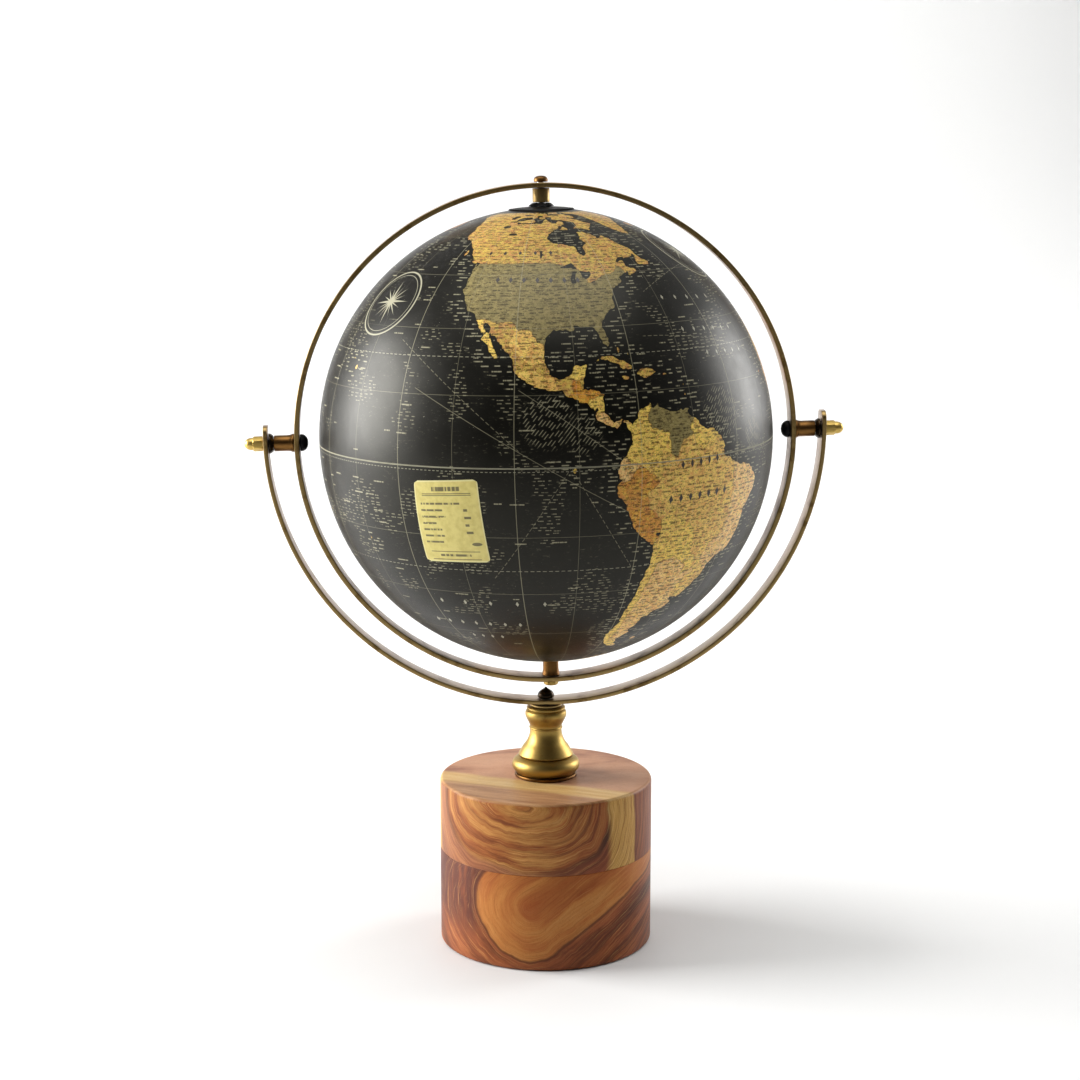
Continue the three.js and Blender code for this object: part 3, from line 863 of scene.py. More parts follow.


# ---- the printed map: coasts as (longitude, latitude) in degrees, drawn ----------------------------
AMERICA = [
    (-168, 65.6), (-161.5, 64.6), (-161, 63.5), (-165.5, 62.2), (-165, 60.5), (-162, 59), (-158, 58.7),
    (-160.5, 56), (-164.5, 54.7), (-158.5, 56), (-154, 58), (-153, 59.5), (-151, 61), (-151.5, 59.3),
    (-146.5, 60.8), (-142, 60), (-138, 59), (-135, 58), (-132.5, 56), (-130.3, 54.5), (-128, 51.5),
    (-125, 50), (-122.8, 49), (-122.5, 47.4), (-124.6, 48.3), (-124, 45.5), (-124.5, 42.8), (-124.2, 40.4),
    (-122.5, 37.8), (-121.8, 36.4), (-120.6, 34.6), (-118.4, 33.9), (-117.2, 32.6), (-115.9, 30.4),
    (-114.2, 28.6), (-115, 27.8), (-113.2, 26.6), (-112.1, 25), (-110.3, 22.9), (-109.5, 23.3),
    (-110.7, 24.8), (-111.4, 26.6), (-112.8, 28.6), (-114.7, 30.6), (-114.8, 31.7), (-113, 31.1),
    (-112.2, 29), (-110.6, 27.7), (-109.3, 26.2), (-107.4, 24.5), (-105.7, 22.6), (-105.4, 20.5),
    (-103.8, 18.8), (-101.6, 17.6), (-98.5, 16.3), (-95.5, 15.7), (-93.8, 16), (-92.3, 14.6), (-89.6, 13.5),
    (-87.6, 13), (-85.8, 11.1), (-85.6, 9.9), (-83.7, 8.6), (-82.2, 8.2), (-80.9, 7.3), (-80.2, 8.2),
    (-79.4, 9), (-78.2, 8.2), (-77.4, 6.8), (-77.4, 4.2), (-78.8, 1.8), (-80, 0.8), (-80.9, -1),
    (-80.8, -2.4), (-79.9, -3.2), (-81.3, -4.5), (-81, -6), (-79.4, -7.8), (-77.6, -11.2), (-76.2, -14),
    (-74, -16), (-71.4, -17.7), (-70.3, -18.6), (-70.1, -21), (-70.5, -25.2), (-71.5, -28.8),
    (-71.6, -32.5), (-73.2, -37), (-73.8, -40.5), (-72.8, -42), (-74.5, -44.5), (-75.5, -47), (-75.2, -50),
    (-73.5, -53), (-70.5, -54.8), (-67, -55.7), (-65.2, -54.8), (-68, -53.6), (-68.6, -52), (-69, -50.6),
    (-67.4, -49), (-65.8, -47.4), (-67.4, -46), (-65.4, -44.8), (-64.6, -42.6), (-65, -41), (-62.3, -40.5),
    (-62.1, -39), (-57.7, -38.2), (-56.8, -36.4), (-58.3, -34.3), (-57.8, -34.4), (-54.9, -34.9),
    (-53, -33.5), (-50.3, -30.4), (-48.7, -28.4), (-48.4, -26), (-45.5, -23.8), (-41.9, -22.9), (-40, -20),
    (-39.2, -17.5), (-38.8, -13.2), (-37, -11), (-35.2, -9), (-34.9, -6.8), (-36.5, -5.1), (-39.5, -3.2),
    (-44.3, -2.6), (-48.3, -0.8), (-50.4, 0.1), (-50, 1.8), (-51.6, 4.2), (-54, 5.9), (-57.2, 6), (-59, 8),
    (-61.6, 9.8), (-62, 10.7), (-65, 10.2), (-68.2, 10.7), (-70, 12.1), (-71.5, 10.9), (-71.8, 12.4),
    (-74.8, 11.1), (-75.6, 9.5), (-76.9, 8.5), (-79.5, 9.6), (-81.5, 8.9), (-83.6, 10.8), (-83.5, 12.8),
    (-83.3, 15), (-85.9, 15.9), (-88.5, 15.8), (-88.1, 18.3), (-87.4, 19.8), (-86.9, 21.4), (-90.3, 21.1),
    (-90.8, 19.3), (-92.2, 18.6), (-94.6, 18.2), (-96.2, 19.3), (-97.7, 22.3), (-97.4, 25.8), (-97.1, 27.8),
    (-94.8, 29.4), (-91.5, 29.5), (-89.2, 29.1), (-89.2, 30.3), (-85.6, 30), (-83.8, 29.9), (-82.7, 28),
    (-81.9, 26.2), (-80.8, 25.2), (-80.1, 26.8), (-81.4, 30.5), (-80, 32.6), (-77.9, 33.9), (-75.6, 35.3),
    (-76.1, 37), (-75.2, 38.5), (-74, 40.4), (-72, 41.2), (-70, 41.7), (-70.7, 43.2), (-67.2, 44.7),
    (-65, 45.4), (-66, 43.7), (-61, 45.4), (-64.6, 46.8), (-64.8, 48.2), (-64.5, 49.1), (-69, 48.3),
    (-66, 50.2), (-60, 50.2), (-56.2, 51.6), (-56.2, 53.6), (-60, 55.5), (-62, 58), (-64.6, 60.3),
    (-67.5, 58.6), (-70, 60.8), (-74, 62.3), (-77.8, 62.4), (-77.6, 60), (-78.4, 58.5), (-76.6, 56.5),
    (-79.3, 54.7), (-79, 52), (-80.5, 51.3), (-82.2, 53), (-82.4, 55.1), (-87, 56), (-92.3, 57),
    (-94.6, 58.9), (-94.3, 61), (-91, 63.6), (-87.5, 64.8), (-86.2, 66.2), (-81.6, 67.2), (-82, 69),
    (-85, 69.7), (-87.5, 67.8), (-91, 69), (-94.5, 71.8), (-96, 69.6), (-97.5, 68), (-103, 68),
    (-109, 67.8), (-115, 68), (-116, 69.1), (-120, 69.4), (-126.5, 70), (-135, 69.4), (-141, 69.6),
    (-149, 70.5), (-156.6, 71.3), (-162, 69.6), (-166, 68.3), (-162.5, 66.8), (-162, 66.2)]
OLD_WORLD = [
    (25.8, 71.1), (19, 69.8), (14.5, 67.5), (10.5, 64), (5, 61.8), (5.4, 59), (8, 58), (10.6, 59.2),
    (12, 57.2), (12.8, 55.5), (16.3, 56.3), (16.8, 58.6), (18.8, 60), (17.3, 61.6), (21.2, 63.7),
    (22.5, 65.8), (25.3, 65), (21.4, 61.3), (23, 59.9), (29.8, 60), (24.2, 59.3), (24.3, 57.4),
    (21.5, 57.4), (20.8, 55.2), (14.3, 54), (10.9, 54.2), (10.5, 57.5), (8.2, 56.8), (8.7, 54), (4.8, 53),
    (3, 51.3), (1.6, 50.6), (-1.6, 49.4), (-4.7, 48.4), (-1.4, 46.2), (-1.6, 43.5), (-9.2, 43.2),
    (-9.2, 38.8), (-8.8, 37), (-6.2, 36.7), (-2, 36.8), (-0.2, 38.8), (3.2, 42), (5, 43.3), (8.8, 44.4),
    (10.4, 43), (12.5, 41.5), (15.8, 40), (15.8, 38), (17, 39.2), (18.4, 40), (16, 41.6), (13.7, 43.5),
    (12.4, 45.3), (15.4, 43.9), (19.4, 41.8), (19.7, 40), (21.6, 36.8), (24, 38), (22.8, 39.8),
    (26.2, 40.8), (27.3, 37), (30.6, 36.7), (32.6, 36.1), (36, 36.6), (35.6, 33.5), (34.2, 31.3),
    (29, 30.9), (23, 32.5), (19.2, 30.4), (15.3, 32.3), (11, 33.6), (10.6, 37), (3, 36.8), (-2, 35.2),
    (-5.9, 35.8), (-9.6, 31), (-13, 27.7), (-17, 21), (-16.5, 16), (-17.4, 14.7), (-15, 11), (-12.6, 7.6),
    (-7.6, 4.4), (-2, 4.9), (2, 6.3), (6, 4.3), (9.3, 4), (9, -1), (12.2, -5.9), (13.6, -11), (11.8, -17.5),
    (14.5, -23), (16.5, -29), (18.3, -34), (20, -34.8), (25.7, -34), (31, -29.8), (32.8, -26), (35.4, -24),
    (34.8, -20), (40.6, -15), (40.4, -10.6), (39, -5.5), (41.6, -1.8), (47.8, 4), (51.2, 11.8),
    (43.5, 11.4), (39.5, 15.3), (37.2, 20), (35.5, 24), (32.7, 29.6), (34.3, 28), (35, 29.4), (35.6, 27.6),
    (39, 21.5), (42.7, 16.5), (43.4, 12.8), (45, 12.8), (52, 15.6), (55.3, 17.5), (59.8, 22.5),
    (56.4, 26.2), (54, 24.1), (51.5, 24.6), (50, 26.8), (48, 30), (51, 28.6), (54.5, 26.6), (57.2, 27),
    (61.5, 25.1), (66.6, 25), (69.2, 22.2), (72.6, 21), (73, 17), (74.8, 12.9), (77.5, 8.1), (79.9, 10.3),
    (80.2, 15), (82.3, 16.6), (87, 21.4), (91.8, 22.4), (94.3, 18), (94.6, 16), (97.2, 16.8), (98.6, 12),
    (98.3, 8), (100.3, 6.5), (101.3, 2.9), (103.7, 1.4), (103.4, 4.8), (100.2, 8.5), (99.4, 10.5),
    (100.3, 13.4), (102.5, 12), (105, 8.7), (109.3, 12.5), (108.5, 16), (105.8, 18.8), (108, 21.6),
    (110.3, 20.9), (114.2, 22.4), (118.5, 24.5), (121.6, 28.5), (121.8, 31.5), (119.3, 35), (122.3, 37),
    (118, 38.6), (121.5, 40.7), (124.4, 39.8), (126.5, 37.5), (126.4, 34.5), (129.3, 35.4), (127.6, 39.8),
    (130.6, 42.4), (133, 42.8), (139.5, 47.5), (141, 52.5), (137.5, 54.3), (142.5, 59.2), (151, 59.3),
    (157, 61.6), (163, 61.8), (156, 57.4), (156.6, 51.2), (160, 54), (162.8, 57.8), (166, 60), (170.5, 60),
    (178, 62.5), (179, 64.6), (186, 64.5), (190.3, 66.1), (184, 67), (179, 69), (170, 69.7), (160, 69.6),
    (150, 71.4), (140, 72.6), (129, 71), (127, 73.4), (113.5, 73.7), (104.5, 77.7), (98, 76), (87, 75),
    (80.5, 72.7), (73, 71.6), (72.6, 68), (68.5, 68.3), (66.5, 70.8), (60, 69), (54, 68.4), (46, 68),
    (44, 66.3), (37.5, 64.2), (34.8, 66.6), (41, 66.6), (40.8, 67.7), (32, 69.8)]
SOUTH_POLE = [
    (-180, -78), (-165, -78.3), (-155, -77), (-140, -75), (-120, -74), (-100, -72.5), (-85, -73),
    (-75, -71), (-67, -67), (-58, -63.3), (-62, -68), (-62, -74), (-50, -77.5), (-35, -78), (-25, -75),
    (-10, -71), (10, -70), (35, -69), (50, -66.3), (70, -69), (80, -67.5), (100, -66), (115, -66.5),
    (140, -66.7), (160, -69.5), (170, -72), (165, -78), (180, -78), (180, -90), (-180, -90)]
ISLANDS = [
    [(-73, 78.2), (-68, 76), (-60, 76), (-55, 71.6), (-53.5, 69), (-53, 66.5), (-51.5, 63.8), (-47.5, 61),
     (-43.2, 60), (-41, 63), (-37, 65.7), (-32, 68), (-23, 70.3), (-21, 74), (-19, 78), (-20, 81.5),
     (-32, 83.4), (-50, 82.5), (-62, 81.3)],
    [(-59.2, 47.7), (-56.6, 51.4), (-55.2, 49.6), (-53, 48), (-53.5, 46.7), (-56, 47.2)],
    [(-128, 50.7), (-125.2, 50.1), (-123.5, 48.5), (-125.6, 49)],
    [(-61.8, 67), (-68, 63.6), (-65, 62), (-72, 64.2), (-78, 64.5), (-73.5, 66.4), (-74, 68.3), (-79, 70),
     (-89, 70.9), (-89.5, 73.3), (-81, 73.7), (-76, 72.7), (-68, 70.2)],
    [(-117, 70), (-113, 68.7), (-105, 68.7), (-102, 69.8), (-105, 71.5), (-105, 73.3), (-114, 73),
     (-118, 71.5)],
    [(-125, 72), (-122, 71.3), (-119, 73), (-118, 74.2), (-124, 74.3)],
    [(-89, 76.5), (-80, 76.3), (-77, 78.2), (-74, 79.8), (-63, 82.3), (-72, 83.1), (-87, 82.1), (-92, 81),
     (-86, 79)],
    [(-92, 76.4), (-80, 75.7), (-80, 74.6), (-91.5, 74.7)],
    [(-128, 69.6), (-148, 70.3), (-160, 72.6), (-164, 75), (-158, 76.8), (-140, 78), (-118, 78.2),
     (-100, 77.2), (-86, 76.6), (-74, 76), (-66, 73.2), (-68, 71.6), (-76, 73), (-84, 73.8), (-93, 73),
     (-100, 73.6), (-104, 71.8), (-112, 70.6)],
    [(-87, 63.8), (-81, 63.7), (-84, 65.9)],
    [(-116, 76.2), (-106, 75.9), (-107, 75), (-115, 74.8)],
    [(-84.9, 21.9), (-82.5, 23), (-79.8, 22.9), (-77, 21.5), (-74.2, 20.2), (-77.6, 19.9), (-78.4, 20.9),
     (-82, 22.3)],
    [(-74.4, 18.5), (-72.8, 19.9), (-69.9, 19.8), (-68.4, 18.6), (-71, 18.2), (-71.6, 17.7)],
    [(-5.5, 50.1), (1.3, 51.2), (1.7, 52.7), (0.2, 53.2), (-1.5, 55), (-2, 57.5), (-3.2, 58.6), (-5, 58.5),
     (-5.6, 56.5), (-4.9, 54.8), (-3, 54), (-4.5, 53.2), (-4.2, 52.3), (-5.2, 51.7), (-3, 51.4)],
    [(-10, 51.7), (-6.3, 52.2), (-5.6, 54.6), (-7.5, 55.3), (-10, 54)],
    [(-22.6, 64), (-18.5, 63.4), (-13.8, 64.9), (-16, 66.4), (-21.5, 66.2), (-24, 65.6)],
    [(14, 77), (17.5, 76.7), (24, 79.8), (11, 79.6)],
    [(52, 71), (57, 70.7), (58, 73.8), (68.5, 76.8), (56, 75)],
    [(44, -25), (47.2, -25), (50.3, -15.5), (49.2, -12.2), (44.4, -16.2), (43.5, -21.5)],
    [(95.3, 5.6), (98.6, 3.7), (103.5, -0.5), (106, -3), (105.8, -5.8), (102, -4), (98.6, 1.3)],
    [(105.3, -6.6), (108.5, -6.6), (114.5, -7.7), (114.3, -8.6), (108, -7.8)],
    [(109, 1.5), (111.3, 2.4), (114.5, 4.6), (117, 7), (119, 5.2), (117.8, 0.8), (116.3, -3.9), (114, -3.4),
     (110.2, -2.9)],
    [(119.5, -5.5), (119, -2.5), (120, 1.1), (125, 1.6), (120.8, 0.3), (123, -1), (121.7, -2.2),
     (122.8, -4.6), (120.7, -3)],
    [(131, -0.8), (134.2, -0.9), (135, -3.3), (138, -1.7), (141, -2.6), (147.8, -6), (150.7, -10.4),
     (146.5, -9), (143, -9.2), (138.5, -8.3), (138, -5.6), (133, -4.1)],
    [(120.3, 18.5), (122.2, 18.3), (121.6, 15.6), (124, 13), (120.8, 13.9), (119.9, 16)],
    [(131, 34), (132.6, 35.5), (136.7, 37.2), (139.5, 38.6), (140.2, 41), (141.9, 39.7), (140.8, 35.7),
     (138.8, 34.7), (135.5, 33.6), (133.8, 34.6)],
    [(140, 42), (141.7, 45.4), (145.4, 43.3), (143.2, 42)],
    [(142, 46), (142.3, 54.3), (143.4, 51), (143.6, 49)],
    [(114, -22), (113.7, -26), (115.6, -34), (118, -35), (124, -33), (131, -31.5), (134.3, -33),
     (135.7, -34.9), (137.8, -33), (138.2, -35.5), (140.5, -38), (143.5, -38.8), (146.4, -39), (150, -37.3),
     (153, -31.5), (153.4, -27.5), (150.8, -23.5), (146.3, -19), (145.4, -15), (142.5, -10.8),
     (141.6, -14.5), (140.8, -17.5), (137, -15.9), (135.5, -14.9), (136.7, -12.2), (132.6, -11.5),
     (130.5, -12.8), (129, -14.9), (126.5, -14), (122.3, -17.8), (117, -20.6)],
    [(172.7, -34.5), (175.8, -36.8), (178.5, -37.7), (176.9, -40), (175.2, -41.6), (173.9, -39.2),
     (174.7, -37.4)],
    [(172.7, -40.6), (174.3, -41.6), (172.8, -43.8), (170.7, -45.9), (168.5, -46.6), (166.5, -45.9),
     (170.5, -43)]]
LAKES = [
    [(28, 42), (28.7, 44), (31, 46.6), (33.3, 45.9), (33.6, 44.4), (36.5, 45.2), (38.5, 47), (38.3, 44.4),
     (41.5, 42), (39, 41), (35, 42), (31.3, 41.2)],
    [(47.5, 43), (47.2, 45.3), (51, 46.9), (53, 45), (50.8, 44.2), (52.5, 41.5), (54, 37.4), (51, 36.7),
     (49, 37.6), (49.6, 40.3)],
    [(-92, 46.8), (-89, 48.2), (-86.5, 48.7), (-84.8, 46.6), (-88, 47)],
    [(-87.7, 41.8), (-86.5, 42), (-86.3, 44), (-85.2, 45.8), (-87.2, 45.6), (-87.9, 43.6)],
    [(-84.4, 45.9), (-80.4, 45.6), (-80.4, 44.6), (-82.3, 43.2), (-83.6, 43.9)],
    [(-83.3, 41.7), (-79.1, 42.9), (-80.6, 42)], [(-79.6, 43.3), (-76.4, 44), (-76.5, 43.4)]]
# Small islands and lakes as (longitude, latitude, half width, half height).
SMALL_ISLANDS = [
    (-77.3, 18.1, 1.1, 0.4), (-66.5, 18.2, 0.9, 0.3), (-61.3, 10.4, 0.4, 0.4), (-155.5, 19.6, 0.6, 0.6),
    (-156.5, 20.8, 0.4, 0.25), (-158, 21.5, 0.4, 0.25), (-91.1, -0.6, 0.5, 0.6), (-59.5, -51.8, 1.6, 0.7),
    (-132, 53, 0.6, 1.2), (-153.6, 57.4, 0.9, 0.7), (-74, -42.8, 0.3, 0.9), (-63, 49.5, 1.2, 0.3),
    (-63.4, 46.4, 0.8, 0.25), (-78, 24.4, 0.35, 0.7), (-75.8, 23.4, 0.25, 0.5), (-61.4, 15.5, 0.25, 0.4),
    (-61.6, 13.6, 0.2, 0.35), (-97, 72.5, 3, 1.0), (-99, 74, 3, 0.8), (-95, 79.5, 4, 1.2),
    (-103, 78.3, 3, 0.8), (80.7, 7.7, 0.8, 1.5), (124.8, 7.8, 1.6, 1.3), (123.5, 10.7, 1.4, 0.8),
    (121, 23.7, 0.5, 1.4), (109.8, 19.2, 0.9, 0.7), (130.8, 32.7, 0.9, 1.3), (133.5, 33.7, 1.1, 0.5),
    (146.6, -42, 1.7, 1.4), (165.5, -21.3, 1.4, 0.5), (160, -9.5, 1.5, 0.6), (167.5, -15.5, 0.6, 1.2),
    (178, -17.8, 0.9, 0.6), (152, -5.3, 1.6, 0.7), (9, 40, 0.6, 1.1), (9.1, 42.2, 0.4, 0.6),
    (14.2, 37.5, 1.3, 0.6), (24.9, 35.2, 1.2, 0.3), (33.2, 35.1, 0.9, 0.4), (55.5, -21, 0.4, 0.4),
    (-16.5, 28.3, 0.7, 0.3), (-24, 15.5, 0.5, 0.5), (-25.5, 37.8, 0.6, 0.3), (-172.5, -13.7, 0.6, 0.3),
    (-149.5, -17.6, 0.4, 0.3), (-36.7, -54.3, 0.9, 0.4)]
SMALL_LAKES = [
    (-98, 52.3, 0.6, 1.7), (-114, 61.7, 2.8, 0.55), (-121, 66, 2.8, 0.8), (-109.5, 59.2, 2.0, 0.3),
    (-85.4, 11.6, 0.5, 0.4), (-69.4, -15.8, 0.7, 0.5), (33, -1, 1.3, 1.3), (29.7, -6, 0.3, 2.6),
    (34.5, -12, 0.3, 2.2), (60, 45, 1.3, 1.1), (106.5, 53, 2.4, 0.6), (31, 61, 0.9, 0.8)]
# Country outlines by tint. They run out to sea, where the coast cuts them off.
TINTS = {
    "khaki": [
        [(-126, 48.4), (-123, 49), (-95, 49), (-89.5, 48), (-84.6, 46.4), (-82.5, 45.3), (-82.5, 42),
         (-79, 42.9), (-76.4, 44.2), (-71.5, 45), (-69.2, 47.4), (-67.8, 47), (-67, 44.4), (-65, 43),
         (-75, 33), (-79, 24), (-90, 28), (-96, 25.9), (-97.5, 25.9), (-99.4, 27), (-101.4, 29.7),
         (-104.4, 29.5), (-106.5, 31.7), (-111, 31.3), (-114.8, 32.5), (-117.1, 32.5), (-126, 32)],
        [(-72, 14), (-71.4, 11.8), (-73, 9.2), (-72, 7.2), (-67.5, 6.2), (-67.2, 3.4), (-66.9, 1.2),
         (-65, 1), (-64, 4), (-60.2, 5.1), (-61.3, 6.8), (-59.9, 8.4), (-58, 12)]],
    "amber": [
        [(-105, 31.5), (-103, 29), (-101.4, 29.7), (-99.4, 27), (-97.5, 25.9), (-96, 22), (-99, 21),
         (-103, 22.5), (-107, 26)],
        [(-104, 20), (-100.5, 20.6), (-97.5, 19), (-95.3, 18.8), (-94, 15), (-99, 14), (-106, 17)],
        [(-84, 14), (-58, 14), (-30, 2), (-30, -30), (-60, -60), (-84, -60)]],
    "slate": [
        [(-140, 57), (-141, 60.2), (-143, 64), (-147, 67.8), (-153, 71), (-164, 73), (-175, 70), (-175, 52)]],
    "orange": [
        [(-80.3, -3.4), (-78.3, -3.4), (-75.3, -0.1), (-72, -2.4), (-70, -4.2), (-73.2, -6.5), (-73, -9.4),
         (-70.6, -11), (-69, -12.5), (-69, -16), (-70.4, -18.3), (-76, -20), (-85, -5)],
        [(-92.3, 14), (-90.5, 16.1), (-91, 17.8), (-89.2, 17.8), (-88.3, 15.7), (-86, 16.5), (-83.2, 15.2),
         (-86.8, 13.8), (-88, 12)]],
    "peach": [
        [(-67.8, -22.8), (-62.6, -22.2), (-57.7, -25.2), (-58.5, -27.3), (-54.7, -26), (-53.7, -27.1),
         (-57.6, -30.2), (-58.2, -34), (-50, -40), (-60, -57), (-68.6, -55.5), (-68.5, -52.4), (-72.5, -50),
         (-71.8, -44), (-71.3, -39), (-70, -34), (-70, -31), (-68.4, -26.5)],
        [(-46.5, -2), (-45.8, -8), (-46.5, -13), (-47, -18), (-51, -20), (-53, -24), (-48, -28), (-40, -26),
         (-32, -12), (-33, -3)],
        [(-79, 1.6), (-77.5, 0.4), (-75.3, -0.1), (-78.3, -3.4), (-80.3, -3.4), (-84, -3), (-84, 2)],
        [(-85.9, 11.1), (-83.6, 11), (-82.6, 9.6), (-77.4, 8.7), (-77.6, 7), (-80, 6), (-86, 8)]],
    "yellow": [
        [(-69, -12.5), (-65.3, -9.8), (-65.3, -12), (-60.5, -13.8), (-58.2, -16.3), (-57.8, -19.6),
         (-58, -22), (-55.7, -22.3), (-54.5, -24), (-54.7, -26), (-58.5, -27.3), (-57.7, -25.2),
         (-62.6, -22.2), (-67.8, -22.8), (-69.5, -17.6), (-69, -16)],
        [(-77.5, 8.6), (-75, 13), (-72, 14), (-71.4, 11.8), (-73, 9.2), (-72, 7.2), (-67.5, 6.2),
         (-67.2, 3.4), (-66.9, 1.2), (-69.8, 1.7), (-69.4, -1), (-70, -4.2), (-72, -2.4), (-75.3, -0.1),
         (-77.5, 0.4), (-79, 1.6), (-81, 4)],
        [(-60, 8.4), (-61.3, 6.8), (-60.2, 5.1), (-59.5, 2), (-56, 2), (-54.5, 2.4), (-51.6, 4.3), (-50, 8)],
        [(-70.4, -18.3), (-69.5, -17.6), (-67.8, -22.8), (-68.4, -26.5), (-70, -31), (-70, -34),
         (-71.3, -39), (-71.8, -44), (-72.5, -50), (-68.5, -52.4), (-68.6, -56), (-80, -56), (-80, -18)],
        [(-118, 32.5), (-114.8, 32.5), (-114, 30), (-109.5, 24.5), (-108.6, 22), (-116, 26)],
        [(-92, 18.5), (-89.2, 17.8), (-88, 18.4), (-86, 19), (-86, 22.5), (-91, 22.5)],
        [(-86.8, 13.8), (-83.2, 15.2), (-82, 12), (-83.6, 11), (-85.9, 11.1), (-88, 12)]]}
CENTRE_LONGITUDE = -94.3
MAP_STRETCH = 3.5  # degrees, at the middle latitudes
COAST_STEP = 0.5 * MM


def ball_direction(longitude, latitude):
    """Unit vector from the middle of the ball to a place, in degrees measured on the ball itself."""
    turn = math.radians(longitude - CENTRE_LONGITUDE)
    tilt = math.radians(latitude)
    return (PIVOT_AXIS * (math.cos(tilt) * math.sin(turn)) + FRONT * (math.cos(tilt) * math.cos(turn))
            + POLE_AXIS * math.sin(tilt))


def ball_point(longitude, latitude, lift=0.0):
    """Point on the ball, or this far above its surface."""
    return CENTRE + ball_direction(longitude, latitude) * (BALL_RADIUS + lift)


def printed_latitude(latitude):
    """The map is printed a little stretched towards the poles."""
    return latitude + MAP_STRETCH * math.sin(math.radians(2 * latitude))


def wander(longitude, latitude, size):
    """A small natural wiggle, the same wherever two outlines share a border."""
    spot = Vector((longitude * 0.9, latitude * 0.9, 3.0))
    fine = Vector((longitude * 2.7, latitude * 2.7, 9.0))
    shift = noise.noise_vector(spot) * size + noise.noise_vector(fine) * (size * 0.55)
    return longitude + shift.x / max(math.cos(math.radians(latitude)), 0.25), latitude + shift.y


def fine_outline(points, size=0.45):
    """An outline with short steps and a natural coast's wiggle, in degrees on the ball."""
    result = []
    for index, (longitude, latitude) in enumerate(points):
        to_longitude, to_latitude = points[(index + 1) % len(points)]
        width = (to_longitude - longitude) * math.cos(math.radians((latitude + to_latitude) / 2))
        length = math.hypot(width, to_latitude - latitude) * math.radians(1) * BALL_RADIUS
        steps = max(1, math.ceil(length / COAST_STEP))
        for step in range(steps):
            share = step / steps
            along = longitude + (to_longitude - longitude) * share
            moved = wander(along, latitude + (to_latitude - latitude) * share, size)
            result.append((moved[0], printed_latitude(moved[1])))
    return result


def small_outline(longitude, latitude, half_width, half_height):
    """An oval with ten corners."""
    turns = [2 * math.pi * step / 10 for step in range(10)]
    return [(longitude + half_width * math.cos(a), latitude + half_height * math.sin(a)) for a in turns]


def fill(outlines, longitudes, latitudes):
    """True where a grid point is inside an odd number of the outlines."""
    inside = np.zeros((len(latitudes), len(longitudes)), bool)
    for outline in outlines:
        points = np.array(outline)
        following = np.roll(points, -1, axis=0)
        for row, latitude in enumerate(latitudes):
            crosses = (points[:, 1] > latitude) != (following[:, 1] > latitude)
            if not crosses.any():
                continue
            start, end = points[crosses], following[crosses]
            share = (latitude - start[:, 1]) / (end[:, 1] - start[:, 1])
            cuts = np.sort(start[:, 0] + share * (end[:, 0] - start[:, 0]))
            for turn in (-360.0, 0.0, 360.0):
                inside[row] ^= np.searchsorted(cuts + turn, longitudes) % 2 == 1
    return inside


def signed_distance(outlines, inside, grid, reach):
    """Distance in millimetres to the nearest outline for each grid point, positive inside."""
    points = [ball_point(*point) for outline in outlines for point in outline
              if abs(point[0]) < 179.9 and point[1] > -86]
    tree = kdtree.KDTree(len(points))
    for index, point in enumerate(points):
        tree.insert(point, index)
    tree.balance()
    distance = np.full(len(grid), reach)
    for index, place in enumerate(grid):
        found = tree.find(place)[2] / MM
        distance[index] = min(found, reach)
    return np.where(inside.ravel(), distance, -distance)


def map_outlines():
    """Every coast and lake as a fine outline."""
    land = [fine_outline(AMERICA), fine_outline(OLD_WORLD), fine_outline(SOUTH_POLE)]
    land += [fine_outline(island, 0.35) for island in ISLANDS]
    land += [fine_outline(lake, 0.3) for lake in LAKES]
    land += [fine_outline(small_outline(*place), 0.15) for place in (*SMALL_ISLANDS, *SMALL_LAKES)]
    return land


BALL_COLUMNS = 560
BALL_ROWS = 150
BAND_LINE = 0.05
INSIDE_ROWS = 12
COAST_REACH = 12.0
TINT_REACH = 3.0
POLE_HOLE = 4.5 * MM


def build_half(name, node, sign, land, tints, material):
    """Half of the printed shell: a fine outside that carries the map, and a plain inside."""
    inner_radius = BALL_RADIUS - SHELL_THICKNESS
    top = 90 - math.degrees(math.asin(POLE_HOLE / BALL_RADIUS))
    tilts = [sign * (BAND_LINE + (top - BAND_LINE) * row / BALL_ROWS) for row in range(BALL_ROWS + 1)]
    turns = [CENTRE_LONGITUDE - 180 + 360 * column / BALL_COLUMNS for column in range(BALL_COLUMNS)]
    outside = [[ball_point(turn, tilt) for turn in turns] for tilt in tilts]
    inner_tilts = [tilts[-1] + (tilts[0] - tilts[-1]) * row / INSIDE_ROWS for row in range(INSIDE_ROWS + 1)]
    inside = [[ball_point(turn, tilt, inner_radius - BALL_RADIUS) for turn in turns] for tilt in inner_tilts]
    vertices, faces = skin(outside + inside, closed=True)
    if sign < 0:
        faces = [face[::-1] for face in faces]
    mesh = new_mesh(name, vertices, faces)
    grid = [point for ring in outside for point in ring]
    east = np.array(turns)
    north = np.array(tilts)
    spare = len(vertices) - len(grid)
    layers = {"coast": (land, COAST_REACH)}
    layers.update({tint: (outlines, TINT_REACH) for tint, outlines in tints.items()})
    for layer, (outlines, reach) in layers.items():
        values = signed_distance(outlines, fill(outlines, east, north), grid, reach)
        attribute = mesh.attributes.new(layer, "FLOAT", "POINT")
        padded = np.concatenate([values, np.full(spare, -reach)])
        attribute.data.foreach_set("value", padded.astype(np.float32))
    return dress(name, mesh, material, "globe", (node,))


